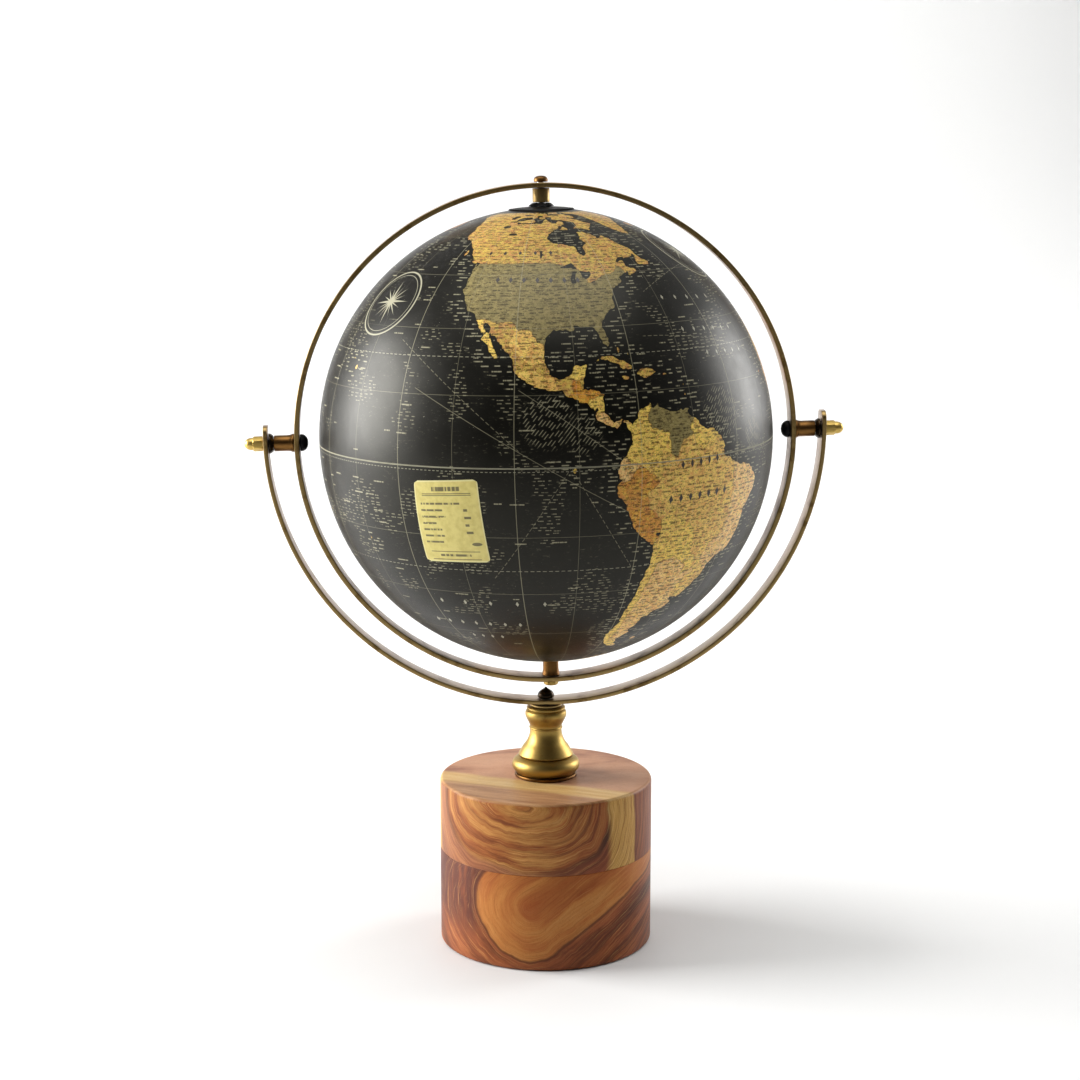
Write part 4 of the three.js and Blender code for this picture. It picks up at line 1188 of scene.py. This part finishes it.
# ---- the printed map: its material ---------------------------------------------------------------
RADIUS_MM = BALL_RADIUS / MM
OCEAN = srgb(11, 10, 7)
DEEP = srgb(6, 6, 4)
INK = srgb(34, 24, 14)
PALE = srgb(176, 170, 140)
GILT = srgb(206, 190, 136)
SILVER = srgb(182, 178, 152)
WARM_TONES = {"amber": (srgb(244, 208, 110), srgb(230, 182, 98)),
              "orange": (srgb(226, 164, 64), srgb(208, 138, 54)),
              "peach": (srgb(246, 208, 136), srgb(232, 184, 108)),
              "yellow": (srgb(250, 214, 104), srgb(236, 204, 104))}
GREY_TONES = {"khaki": (srgb(146, 132, 82), srgb(128, 116, 72)),
              "slate": (srgb(40, 39, 33), srgb(30, 29, 25))}
TROPIC = 23.4
CAP_LATITUDE = 79.5
FIRST_MERIDIAN = -105
# Courses over the sea as (start, end, dashed), in degrees on the ball.
SEA_ROUTES = (((-131.3, 18.2), (-75.1, -12.8), False), ((-104, 18), (-79, 0.5), False),
              ((-92, 0), (-74, -28), True), ((-92, 0), (-112, -28), True), ((-140, 30), (-104, 4), True),
              ((-64, 42), (-20, 50), True), ((-70, 30), (-25, 22), True))
# Hatched patches as (longitude, latitude, reach in mm), and compasses with their radius in mm and turn.
HATCHED = ((-97, 10.5, 12.0), (-89, 7.5, 8.0), (-50, 10, 12.0), (-37, 3, 8.0))
COMPASSES = ((-153.4, 39.6, 19.0, 0.1), (-19, 54, 20.0, 0.4))


class MapPlaces:
    """Places on the ball for a material: unit vector, and millimetres east and north."""

    def __init__(self, finish):
        self.finish = finish
        offset = finish.vector("SUBTRACT", finish.place(), tuple(CENTRE))
        east = finish.dot(offset, PIVOT_AXIS)
        front = finish.dot(offset, FRONT)
        north = finish.dot(offset, POLE_AXIS)
        self.spot = finish.vector("NORMALIZE", offset)
        self.turn = finish.math("ARCTAN2", east, front)
        self.tilt = finish.math("ARCSINE", north / BALL_RADIUS)
        self.north_mm = self.tilt * RADIUS_MM
        self.shrink = cosine(self.tilt)
        self.east_mm = self.turn * RADIUS_MM * self.shrink

    def line(self, value, half_width, soft=0.12):
        """1 where value (millimetres from a line) is within half_width."""
        return self.finish.step(abs(value), half_width + soft, half_width - soft)

    def parallel(self, latitude, half_width):
        """A line round the ball at this printed latitude."""
        height = math.radians(printed_latitude(latitude)) * RADIUS_MM
        return self.line(self.north_mm - height, half_width)

    def meridians(self, spacing, half_width):
        """Lines from pole to pole, this many degrees apart."""
        gap = math.radians(spacing)
        # Whole turns are added because a remainder needs a value above zero.
        start = math.radians(CENTRE_LONGITUDE - FIRST_MERIDIAN) + gap / 2 + 8 * math.pi
        nearest = (self.turn + start) % gap - gap / 2
        return self.line(nearest * RADIUS_MM * self.shrink, half_width)

    def dashes(self, period, share):
        """1 along the drawn part of each dash, counted eastward."""
        along = self.turn * (RADIUS_MM / period)
        return self.finish.step(fraction(along), share + 0.08, share - 0.08)

    def strokes(self, row_height, word_length, presence, tall, seed):
        """Rows of short broken strokes, like very small print that can't be read."""
        finish = self.finish
        row = floor(self.north_mm / row_height)
        middle = (row + 0.5) * row_height
        stretch = cosine(middle / RADIUS_MM)
        along = self.turn * RADIUS_MM * stretch
        shift = finish.random(finish.combine(row, seed, 1.0))
        place = along / word_length + shift * 7.0
        word = floor(place)
        inside = place - word - 0.5
        chance = finish.random(finish.combine(row, word, seed))
        length = finish.random(finish.combine(row, word, seed + 3.0))
        lift = finish.random(finish.combine(row, word, seed + 5.0))
        half = length * 0.24 + 0.16
        in_word = finish.step(abs(inside) - half, 0.02, -0.02)
        lift = (lift - 0.5) * (row_height * 0.45)
        height = self.north_mm - middle - lift
        letter = finish.random(finish.combine(floor(along / 0.42), row, seed))
        in_row = self.line(height, tall, 0.14)
        broken = finish.step(letter, 0.12, 0.3, 0.35, 1.0)
        shown = finish.math("LESS_THAN", chance, presence)
        return in_word * in_row * (broken * shown)

    def route(self, start, end, half_width, dashed):
        """A straight course over the sea between two places in degrees on the ball."""
        finish = self.finish
        first = ball_direction(*start)
        last = ball_direction(*end)
        normal = first.cross(last).normalized()
        middle = (first + last).normalized()
        side = normal.cross(middle)
        half = first.angle(last) / 2
        off = finish.dot(self.spot, normal) * RADIUS_MM
        along = finish.math("ARCTAN2", finish.dot(self.spot, side), finish.dot(self.spot, middle))
        mask = self.line(off, half_width) * finish.step(abs(along), half + 0.004, half - 0.004)
        if dashed:
            beat = fraction(along * (RADIUS_MM / 3.2))
            mask = mask * finish.step(beat, 0.7, 0.6)
        return mask

    def hatching(self, longitude, latitude, reach, gap):
        """Slanted strokes in a round patch: reach and gap in millimetres."""
        finish = self.finish
        out = ball_direction(longitude, latitude)
        patch = finish.step(finish.dot(self.spot, out),
                            math.cos((reach + 2) / RADIUS_MM), math.cos((reach - 2) / RADIUS_MM))
        across = (self.north_mm * -0.8 + self.east_mm) / gap
        stroke = floor(across)
        off = abs(across - stroke - 0.5)
        start = finish.random(finish.combine(stroke, gap, latitude)) * 5.0
        beat = fraction(self.north_mm / 4.2 + start)
        return patch * (finish.step(off, 0.17, 0.09) * finish.step(beat, 0.62, 0.56))

    def fine_print(self, wide, tall, seed):
        """Uneven flecks in rows, like print too small to read."""
        finish = self.finish
        where = finish.combine(self.east_mm / wide, self.north_mm / tall, seed)
        return finish.noise(where, 1.0, 3.0, 0.65)

    def compass(self, longitude, latitude, radius, turn):
        """A generic compass: rays of three lengths, and rings. Returns masks for its lines and its disc."""
        finish = self.finish
        out = ball_direction(longitude, latitude)
        east = POLE_AXIS.cross(out).normalized()
        north = out.cross(east)
        x = finish.dot(self.spot, east) * RADIUS_MM
        y = finish.dot(self.spot, north) * RADIUS_MM
        near = finish.math("GREATER_THAN", finish.dot(self.spot, out), 0.5)
        distance = finish.vector("LENGTH", finish.combine(x, y, 0.0))
        angle = finish.math("ARCTAN2", x, y) + (turn + 4 * math.pi)
        lines = None
        for count, reach, offset, broad in ((4, 0.66, 0.0, 0.07), (4, 0.56, 0.5, 0.06), (8, 0.48, 0.5, 0.05)):
            slot_angle = fraction(angle * (count / (2 * math.pi)) + (offset + 0.5))
            off_ray = abs(slot_angle - 0.5) * (2 * math.pi / count)
            side_way = off_ray * distance
            taper = (reach * radius - distance) * broad
            ray = finish.step(side_way - taper, 0.12, -0.12)
            lines = ray if lines is None else larger(lines, ray)
        for share, half in ((0.97, 0.42), (0.86, 0.13), (0.10, 0.3)):
            ring = self.line(distance - radius * share, half)
            lines = larger(lines, ring)
        disc = finish.step(distance, radius + 0.4, radius + 0.1)
        return lines * near, disc * near


def printed_tones(finish, places, blotch, cloud):
    """Golden land in America, and five soft tints in cells elsewhere."""
    golden = finish.mix(finish.step(blotch, 0.45, 0.62), srgb(206, 174, 84), srgb(194, 148, 84))
    wobble = finish.vector("ADD", places.spot, finish.combine(blotch * 0.10, cloud * 0.12))
    share = finish.split(finish.cells(wobble, 7.0))[0]
    soft = finish.ramp(share, (0.0, srgb(222, 176, 92)), (0.2, srgb(160, 148, 106)),
                       (0.4, srgb(206, 140, 72)), (0.6, srgb(222, 200, 120)), (0.8, srgb(214, 164, 120)),
                       interpolation="CONSTANT")
    return finish.mix(finish.step(abs(places.turn), 1.15, 1.16), golden, soft)


def lay(finish, blotch, tint, tones):
    """Fills the areas of each printed colour and draws their thin borders."""
    for name, (first, second) in tones.items():
        edge = finish.attribute(name)
        filling = finish.mix(finish.step(blotch, 0.42, 0.62), first, second)
        tint = finish.mix(finish.step(edge, -0.15, 0.15), tint, filling)
        tint = finish.mix(finish.step(abs(edge), 0.34, 0.10, 0.0, 0.45), tint, srgb(120, 84, 44))
    return tint


def land_colour(finish, places, blotch, cloud):
    """Country tints under stains, flecks, rivers and rows of dark strokes."""
    tint = lay(finish, blotch, printed_tones(finish, places, blotch, cloud), WARM_TONES)
    tint = finish.mix(finish.step(cloud, 0.4, 0.75, 0.0, 0.35), tint, srgb(176, 128, 74))
    flush = finish.noise(places.spot, 65.0, 3.0, 0.6)
    tint = finish.mix(finish.step(flush, 0.50, 0.62, 0.0, 0.45), tint, srgb(200, 124, 72))
    tint = finish.mix(finish.step(flush, 0.46, 0.36, 0.0, 0.45), tint, srgb(228, 204, 88))
    tint = lay(finish, blotch, tint, GREY_TONES)
    fleck = places.fine_print(1.9, 0.72, 3.0)
    tint = finish.mix(finish.step(fleck, 0.54, 0.66, 0.0, 0.66), tint, srgb(58, 40, 20))
    tint = finish.mix(finish.step(fleck, 0.42, 0.30, 0.0, 0.30), tint, srgb(222, 206, 158))
    for scale in (26.0, 48.0):
        bend = finish.noise(places.spot, scale, 3.0, 0.6)
        river = finish.step(abs(bend - 0.5), 0.012, 0.004, 0.0, 0.6)
        tint = finish.mix(river, tint, srgb(64, 44, 22))
    strokes = larger(places.strokes(2.6, 6.2, 0.85, 0.40, 2.0), places.strokes(1.6, 3.4, 0.45, 0.24, 11.0))
    return finish.mix(strokes * 0.72, tint, INK)


def sea_colour(finish, places, coast, cloud):
    """Black sea, blacker along the coasts, with pale strokes, hatched patches and dust."""
    shore = finish.step(coast, -7.0, -1.0)
    sea = finish.mix(shore, finish.mix(finish.step(cloud, 0.35, 0.7), OCEAN, srgb(13, 12, 9)), DEEP)
    beside = finish.step(coast, -9.0, -6.5) * finish.step(coast, -0.7, -1.1)
    strokes = places.strokes(2.1, 6.0, 0.7, 0.30, 23.0) * beside
    strokes = larger(strokes, places.strokes(6.5, 9.0, 0.12, 0.3, 31.0))
    blocks = finish.step(finish.noise(places.spot, 5.5, 2.0, 0.5), 0.56, 0.60, 0.0, 0.45)
    note = places.strokes(1.7, 4.0, 0.85, 0.22, 41.0) * blocks
    sea = finish.mix(note * finish.step(coast, -6.0, -8.0), sea, PALE)
    for longitude, latitude, reach in HATCHED:
        sea = finish.mix(places.hatching(longitude, latitude, reach, 1.9) * 0.5, sea, PALE)
    dust = finish.step(places.fine_print(2.4, 1.1, 8.0), 0.56, 0.80, 0.0, 0.20)
    sea = finish.mix(dust * finish.step(cloud, 0.40, 0.62), sea, PALE)
    return finish.mix(strokes * 0.6, sea, PALE)


def add_grid(finish, places, colour):
    """Fine map lines, dashed tropics, and a bold equator with dashes beside it."""
    grid = places.meridians(15, 0.10)
    for latitude in (-60, -45, -30, -15, 15, 30, 45, 60):
        grid = larger(grid, places.parallel(latitude, 0.11))
    colour = finish.mix(grid * 0.30, colour, PALE)
    colour = finish.mix(places.meridians(30, 0.18) * 0.30, colour, PALE)
    tropics = larger(places.parallel(TROPIC, 0.14), places.parallel(-TROPIC, 0.14)) * places.dashes(3.2, 0.6)
    beside = places.parallel(-0.75, 0.14) * places.dashes(2.2, 0.55)
    bold = larger(places.parallel(0, 0.30), larger(tropics, beside) * 0.8)
    return finish.mix(bold * 0.75, colour, SILVER)


def add_sea_routes(finish, places, land, colour):
    courses = None
    for start, end, dashed in SEA_ROUTES:
        course = places.route(start, end, 0.14, dashed)
        courses = course if courses is None else larger(courses, course)
    return finish.mix(courses * (1.0 - land) * 0.38, colour, PALE)


def add_compasses(finish, places, colour):
    for longitude, latitude, radius, turn in COMPASSES:
        lines, disc = places.compass(longitude, latitude, radius, turn)
        colour = finish.mix(disc * 0.7, colour, OCEAN)
        colour = finish.mix(lines * 0.70, colour, SILVER)
    return colour


def add_polar_caps(finish, places, colour):
    """Black caps with fine gilt ticks round them."""
    edge = math.radians(CAP_LATITUDE) * RADIUS_MM
    colour = finish.mix(finish.step(abs(places.north_mm), edge - 0.15, edge + 0.15), colour, DEEP)
    tick = finish.step(fraction(places.turn * (36 / math.pi)), 0.35, 0.2)
    belt = places.line(abs(places.north_mm) - (edge - 1.6), 1.2)
    return finish.mix(tick * belt * 0.6, colour, GILT)


def varnish(finish, places, colour):
    """Satin varnish with uneven gloss, small scuffs and dust specks."""
    grain = finish.noise(places.spot, 260.0, 3.0, 0.7)
    scuff = finish.noise(finish.vector("MULTIPLY", places.spot, (60.0, 60.0, 420.0)), 1.0, 4.0, 0.7, 0.8)
    speck = finish.noise(places.spot, 150.0, 2.0, 0.5)
    worn = larger(finish.step(scuff, 0.70, 0.76, 0.0, 0.30), finish.step(speck, 0.76, 0.80, 0.0, 0.6))
    finish.set("Base Color", finish.mix(worn, colour, srgb(206, 200, 178)))
    worn_patch = finish.noise(places.spot, 8.0, 6.0, 0.68)
    finish.set("Roughness", grain * 0.10 + (worn_patch * 0.22 + 0.21))
    finish.set("Specular IOR Level", 0.24)
    finish.set("Specular Tint", (1.0, 0.97, 0.84, 1.0))
    finish.bump(grain * 0.6 + scuff * 0.5, 0.10, 0.0005)


def map_finish():
    """Printed paper under satin varnish: black sea, antique-toned land and fine map lines."""
    finish = Finish("map_paper_finish")
    places = MapPlaces(finish)
    coast = finish.attribute("coast")
    land = finish.step(coast, -0.12, 0.12)
    cloud = finish.noise(places.spot, 9.0, 5.0, 0.62)
    blotch = finish.noise(places.spot, 34.0, 4.0, 0.6)
    tint = land_colour(finish, places, blotch, cloud)
    colour = finish.mix(land, sea_colour(finish, places, coast, cloud), tint)
    coast_line = finish.step(abs(coast + 0.25), 0.42, 0.12, 0.0, 0.9)
    colour = finish.mix(coast_line, colour, DEEP)
    colour = add_grid(finish, places, colour)
    colour = add_sea_routes(finish, places, land, colour)
    colour = add_compasses(finish, places, colour)
    colour = add_polar_caps(finish, places, colour)
    varnish(finish, places, colour)
    return finish.material


def card_finish():
    """Pale key panel: a title bar, two rules and rows of small marks, with a lighter border."""
    finish = Finish("key_card_finish")
    place = finish.attribute("card", "Vector")
    across, down, _ = finish.split(place)
    blotch = finish.noise(finish.place(), 320.0, 4.0, 0.6)
    colour = finish.mix(finish.step(blotch, 0.35, 0.7), srgb(206, 192, 112), srgb(190, 174, 94))

    def bar(left, right, middle, half):
        past_left = finish.step(across, left - 0.006, left + 0.006)
        before_right = finish.step(across, right + 0.006, right - 0.006)
        return past_left * before_right * finish.step(abs(down - middle), half + 0.004, half - 0.002)

    letters = finish.random(finish.combine(floor(across * 46.0), floor(down * 14.0), 4.0))
    broken = finish.step(letters, 0.2, 0.35, 0.3, 1.0)
    marks = bar(0.28, 0.72, 0.10, 0.024) * broken
    for row, length in enumerate((0.62, 0.34, 0.38, 0.22, 0.30, 0.32, 0.28)):
        words = bar(0.08, 0.08 + length, 0.27 + 0.078 * row, 0.011) * broken
        marks = larger(marks, words)
    for row in range(4):
        marks = larger(marks, bar(0.74, 0.80 + 0.04 * (row % 2), 0.35 + 0.09 * row, 0.014))
    for rule in (0.155, 0.175, 0.862, 0.965):
        marks = larger(marks, bar(0.12, 0.88, rule, 0.004))
    foot = bar(0.26, 0.74, 0.91, 0.014) * broken
    blot = oval(finish, ((across, 0.86, 0.075), (down, 0.765, 0.022)))
    marks = larger(larger(marks, foot), finish.step(blot, 1.1, 0.9))
    colour = finish.mix(marks * 0.85, colour, srgb(58, 50, 30))
    side = smaller(smaller(across, 1.0 - across), smaller(down, 1.0 - down))
    colour = finish.mix(finish.step(side, 0.022, 0.014, 0.0, 0.8), colour, srgb(216, 208, 150))
    finish.set("Base Color", colour)
    finish.set("Roughness", blotch * 0.1 + 0.36)
    finish.bump(blotch, 0.08, 0.0002)
    return finish.material


def surface_sheet(name, columns, rows, locate, inside, material, attribute):
    """A thin closed sheet that lies on the ball. locate(u, v) gives degrees on the ball.

    The attribute keeps (u, v) for the material.
    """
    top, bottom, marks = [], [], []
    for row in range(rows + 1):
        for column in range(columns + 1):
            u, v = inside(column / columns, row / rows)
            place = locate(u, v)
            top.append(ball_point(*place, 0.10 * MM))
            bottom.append(ball_point(*place, -0.4 * MM))
            marks.append((u, v, 0.0))
    width = columns + 1
    offset = len(top)
    faces = []
    for row in range(rows):
        for column in range(columns):
            corner = row * width + column
            faces.append((corner, corner + width, corner + width + 1, corner + 1))
            under = offset + corner
            faces.append((under, under + 1, under + width + 1, under + width))
    rim = [*range(width), *(row * width + columns for row in range(1, rows + 1)),
           *(rows * width + column for column in range(columns - 1, -1, -1)),
           *(row * width for row in range(rows - 1, 0, -1))]
    for index, corner in enumerate(rim):
        following = rim[(index + 1) % len(rim)]
        faces.append((corner, following, offset + following, offset + corner))
    mesh = new_mesh(name, top + bottom, faces)
    layer = mesh.attributes.new(attribute, "FLOAT_VECTOR", "POINT")
    layer.data.foreach_set("vector", np.array(marks + marks, np.float32).ravel())
    return dress(name, mesh, material, "globe")


def build_card():
    """The key panel, with rounded corners, on the southern half."""
    corners = ((-130.4, -3.5), (-113.9, -2.5), (-130.6, -24.0), (-112.4, -23.4))
    corner_share = 0.05

    def locate(u, v):
        upper = [corners[0][axis] * (1 - u) + corners[1][axis] * u for axis in (0, 1)]
        lower = [corners[2][axis] * (1 - u) + corners[3][axis] * u for axis in (0, 1)]
        return tuple(upper[axis] * (1 - v) + lower[axis] * v for axis in (0, 1))

    def inside(u, v):
        """Pulls the sheet's sides in at its corners, so that they are round."""
        near = min(v, 1 - v)
        if near >= corner_share:
            return u, v
        drop = corner_share - math.sqrt(corner_share ** 2 - (corner_share - near) ** 2)
        return 0.5 + (u - 0.5) * (1 - 2 * drop * 1.25), v

    surface_sheet("key_card", 24, 40, locate, inside, card_finish(), "card")


def ink_finish(name, light, dark):
    """Worn printing ink."""
    finish = Finish(name)
    worn = finish.noise(finish.place(), 2400.0, 3.0, 0.6)
    finish.set("Base Color", finish.mix(finish.step(worn, 0.4, 0.7), light, dark))
    finish.set("Roughness", worn * 0.12 + 0.32)
    return finish.material


def build_mark_rows(name, rows, material):
    """Rows of small lozenges, generic marks in place of large titles, as one piece."""
    vertices, faces = [], []
    for start, end, count, tall in rows:
        for index in range(count):
            share = index / (count - 1)
            longitude = start[0] + (end[0] - start[0]) * share
            latitude = start[1] + (end[1] - start[1]) * share
            half = tall / 2 / RADIUS_MM / math.radians(1)
            wide = half * 0.5 / math.cos(math.radians(latitude))
            outline = [(longitude + wide, latitude), (longitude, latitude + half),
                       (longitude - wide, latitude), (longitude, latitude - half)]
            base = len(vertices)
            vertices += [ball_point(*place, lift) for lift in (0.05 * MM, -0.3 * MM) for place in outline]
            faces.append(tuple(base + step for step in range(4)))
            faces.append(tuple(base + 7 - step for step in range(4)))
            faces += [(base + step, base + (step + 1) % 4, base + 4 + (step + 1) % 4, base + 4 + step)
                      for step in range(4)]
    return make_piece(name, vertices, faces, material, "globe")


def build_ball():
    """Both printed halves, the key panel, and the rows of marks on land and sea."""
    land = map_outlines()
    tints = {name: [fine_outline(outline) for outline in outlines] for name, outlines in TINTS.items()}
    material = map_finish()
    build_half("ball_north", "north_half", 1, land, tints, material)
    build_half("ball_south", "south_half", -1, land, tints, material)
    build_card()
    build_mark_rows("land_marks", [((-120, 56.3), (-94, 56.3), 5, 3.2),
                                   ((-113.2, 47), (-85.7, 46.5), 7, 3.8),
                                   ((-63.9, -1.2), (-52.9, -0.6), 5, 4.0),
                                   ((-67, -9.2), (-49.5, -8.7), 7, 4.4)],
                    ink_finish("dark_ink_finish", srgb(30, 22, 14), srgb(52, 38, 22)))
    build_mark_rows("sea_marks", [((-131.5, -36.4), (-98.9, -36.4), 5, 3.2),
                                  ((-139, -44.5), (-107.5, -44.5), 7, 3.2),
                                  ((-128, -50.5), (-116, -50.5), 4, 3.0), ((-58, 40), (-36, 39), 5, 2.8),
                                  ((-56, 31), (-34, 30), 6, 2.8), ((-50, 24.5), (-34, 24), 5, 2.8)],
                    ink_finish("pale_ink_finish", srgb(170, 166, 144), srgb(120, 116, 98)))


# ---- studio ------------------------------------------------------------------------------------
def build_floor():
    """A pale floor that curves up into a plain backdrop, painted darker in front and lighter behind as
    painted light.
    """
    finish = Finish("studio_paper", Roughness=0.6)
    place = finish.place()
    cloud = finish.noise(place, 3.0, 2.0, 0.5)
    painted_dim_front = finish.ramp(cloud, (0.3, srgb(220, 220, 219)), (0.7, srgb(225, 225, 224)))
    # Painted light: the floor is painted darker in front and lighter towards the backdrop, a painted fall-off
    # from the dim front of the room to a brightly lit backdrop.
    behind = finish.step(finish.split(place)[1], 0.1, 0.7)
    finish.set("Base Color", finish.mix(behind, painted_dim_front, srgb(248, 248, 247)))
    width, front, back, height, bend = 3.0, -3.0, 1.6, 3.0, 0.8
    outline = [(front, 0.0), (back - bend, 0.0)]
    turns = [math.radians(degrees) for degrees in range(6, 91, 6)]
    outline += [(back - bend + bend * math.sin(turn), bend - bend * math.cos(turn)) for turn in turns]
    outline.append((back, height))
    vertices = [(side * width, y, z) for y, z in outline for side in (-1, 1)]
    faces = [(2 * i, 2 * i + 1, 2 * i + 3, 2 * i + 2) for i in range(len(outline) - 1)]
    mesh = new_mesh("studio_floor", vertices, faces)
    mesh.shade_smooth()
    mesh.materials.append(finish.material)
    floor = new_object("studio_floor", mesh)


def softbox(name, place, aim, size, power):
    """A rectangular light that looks at a point."""
    light = bpy.data.lights.new(name, "AREA")
    light.shape = "RECTANGLE"
    light.size, light.size_y = size
    light.energy = power
    lamp = new_object(name, light)
    lamp.location = place
    lamp.rotation_euler = (Vector(aim) - Vector(place)).to_track_quat("-Z", "Y").to_euler()


def light_studio():
    """Two tall side boxes, the right one a little behind, and a wide one overhead."""
    middle = Vector((0, 0, CENTRE.z))
    softbox("left_softbox", middle + Vector((-0.97, 0.16, 0.21)) * 1.3, middle, (0.85, 0.8), 38.0)
    softbox("right_softbox", middle + Vector((0.875, 0.433, 0.19)) * 1.4, middle, (0.6, 0.7), 13.0)
    softbox("top_softbox", (0.0, -0.25, 1.9), middle, (1.8, 1.3), 23.0)
    world = bpy.data.worlds.new("studio_air")
    world.use_nodes = True
    tree = world.node_tree
    background = tree.nodes["Background"]
    background.inputs["Color"].default_value = (1.0, 1.0, 1.0, 1.0)
    # The room is dim in front of the object, where the camera stands, and bright behind it.
    toward = tree.nodes.new("ShaderNodeTexCoord")
    split = tree.nodes.new("ShaderNodeSeparateXYZ")
    fade = tree.nodes.new("ShaderNodeMapRange")
    fade.inputs["From Min"].default_value = -0.9
    fade.inputs["From Max"].default_value = 0.6
    fade.inputs["To Min"].default_value = 0.02
    fade.inputs["To Max"].default_value = 0.45
    tree.links.new(toward.outputs["Generated"], split.inputs[0])
    tree.links.new(split.outputs["Y"], fade.inputs["Value"])
    tree.links.new(fade.outputs[0], background.inputs["Strength"])
    bpy.context.scene.world = world
    bpy.context.scene.view_settings.view_transform = "Standard"


def place_camera():
    """A camera a little left of the front and above the ball's middle."""
    yaw, pitch = 0.0576, 0.1773
    camera = bpy.data.cameras.new("studio_camera")
    camera.sensor_width = 36.0
    camera.lens = 74.03
    holder = new_object("studio_camera", camera)
    holder.location = (-0.0674, -1.1161, CENTRE.z + 0.1466)
    holder.rotation_euler = (math.pi / 2 - pitch, 0.0, -yaw)
    bpy.context.scene.camera = holder


# ---- build everything ----------------------------------------------------------------------------
place_camera()
light_studio()
build_floor()
build_base()
build_stem()
build_yoke()
build_ring()
build_pivots()
build_pole_fittings()
build_ball()
paint_hidden_nodes()
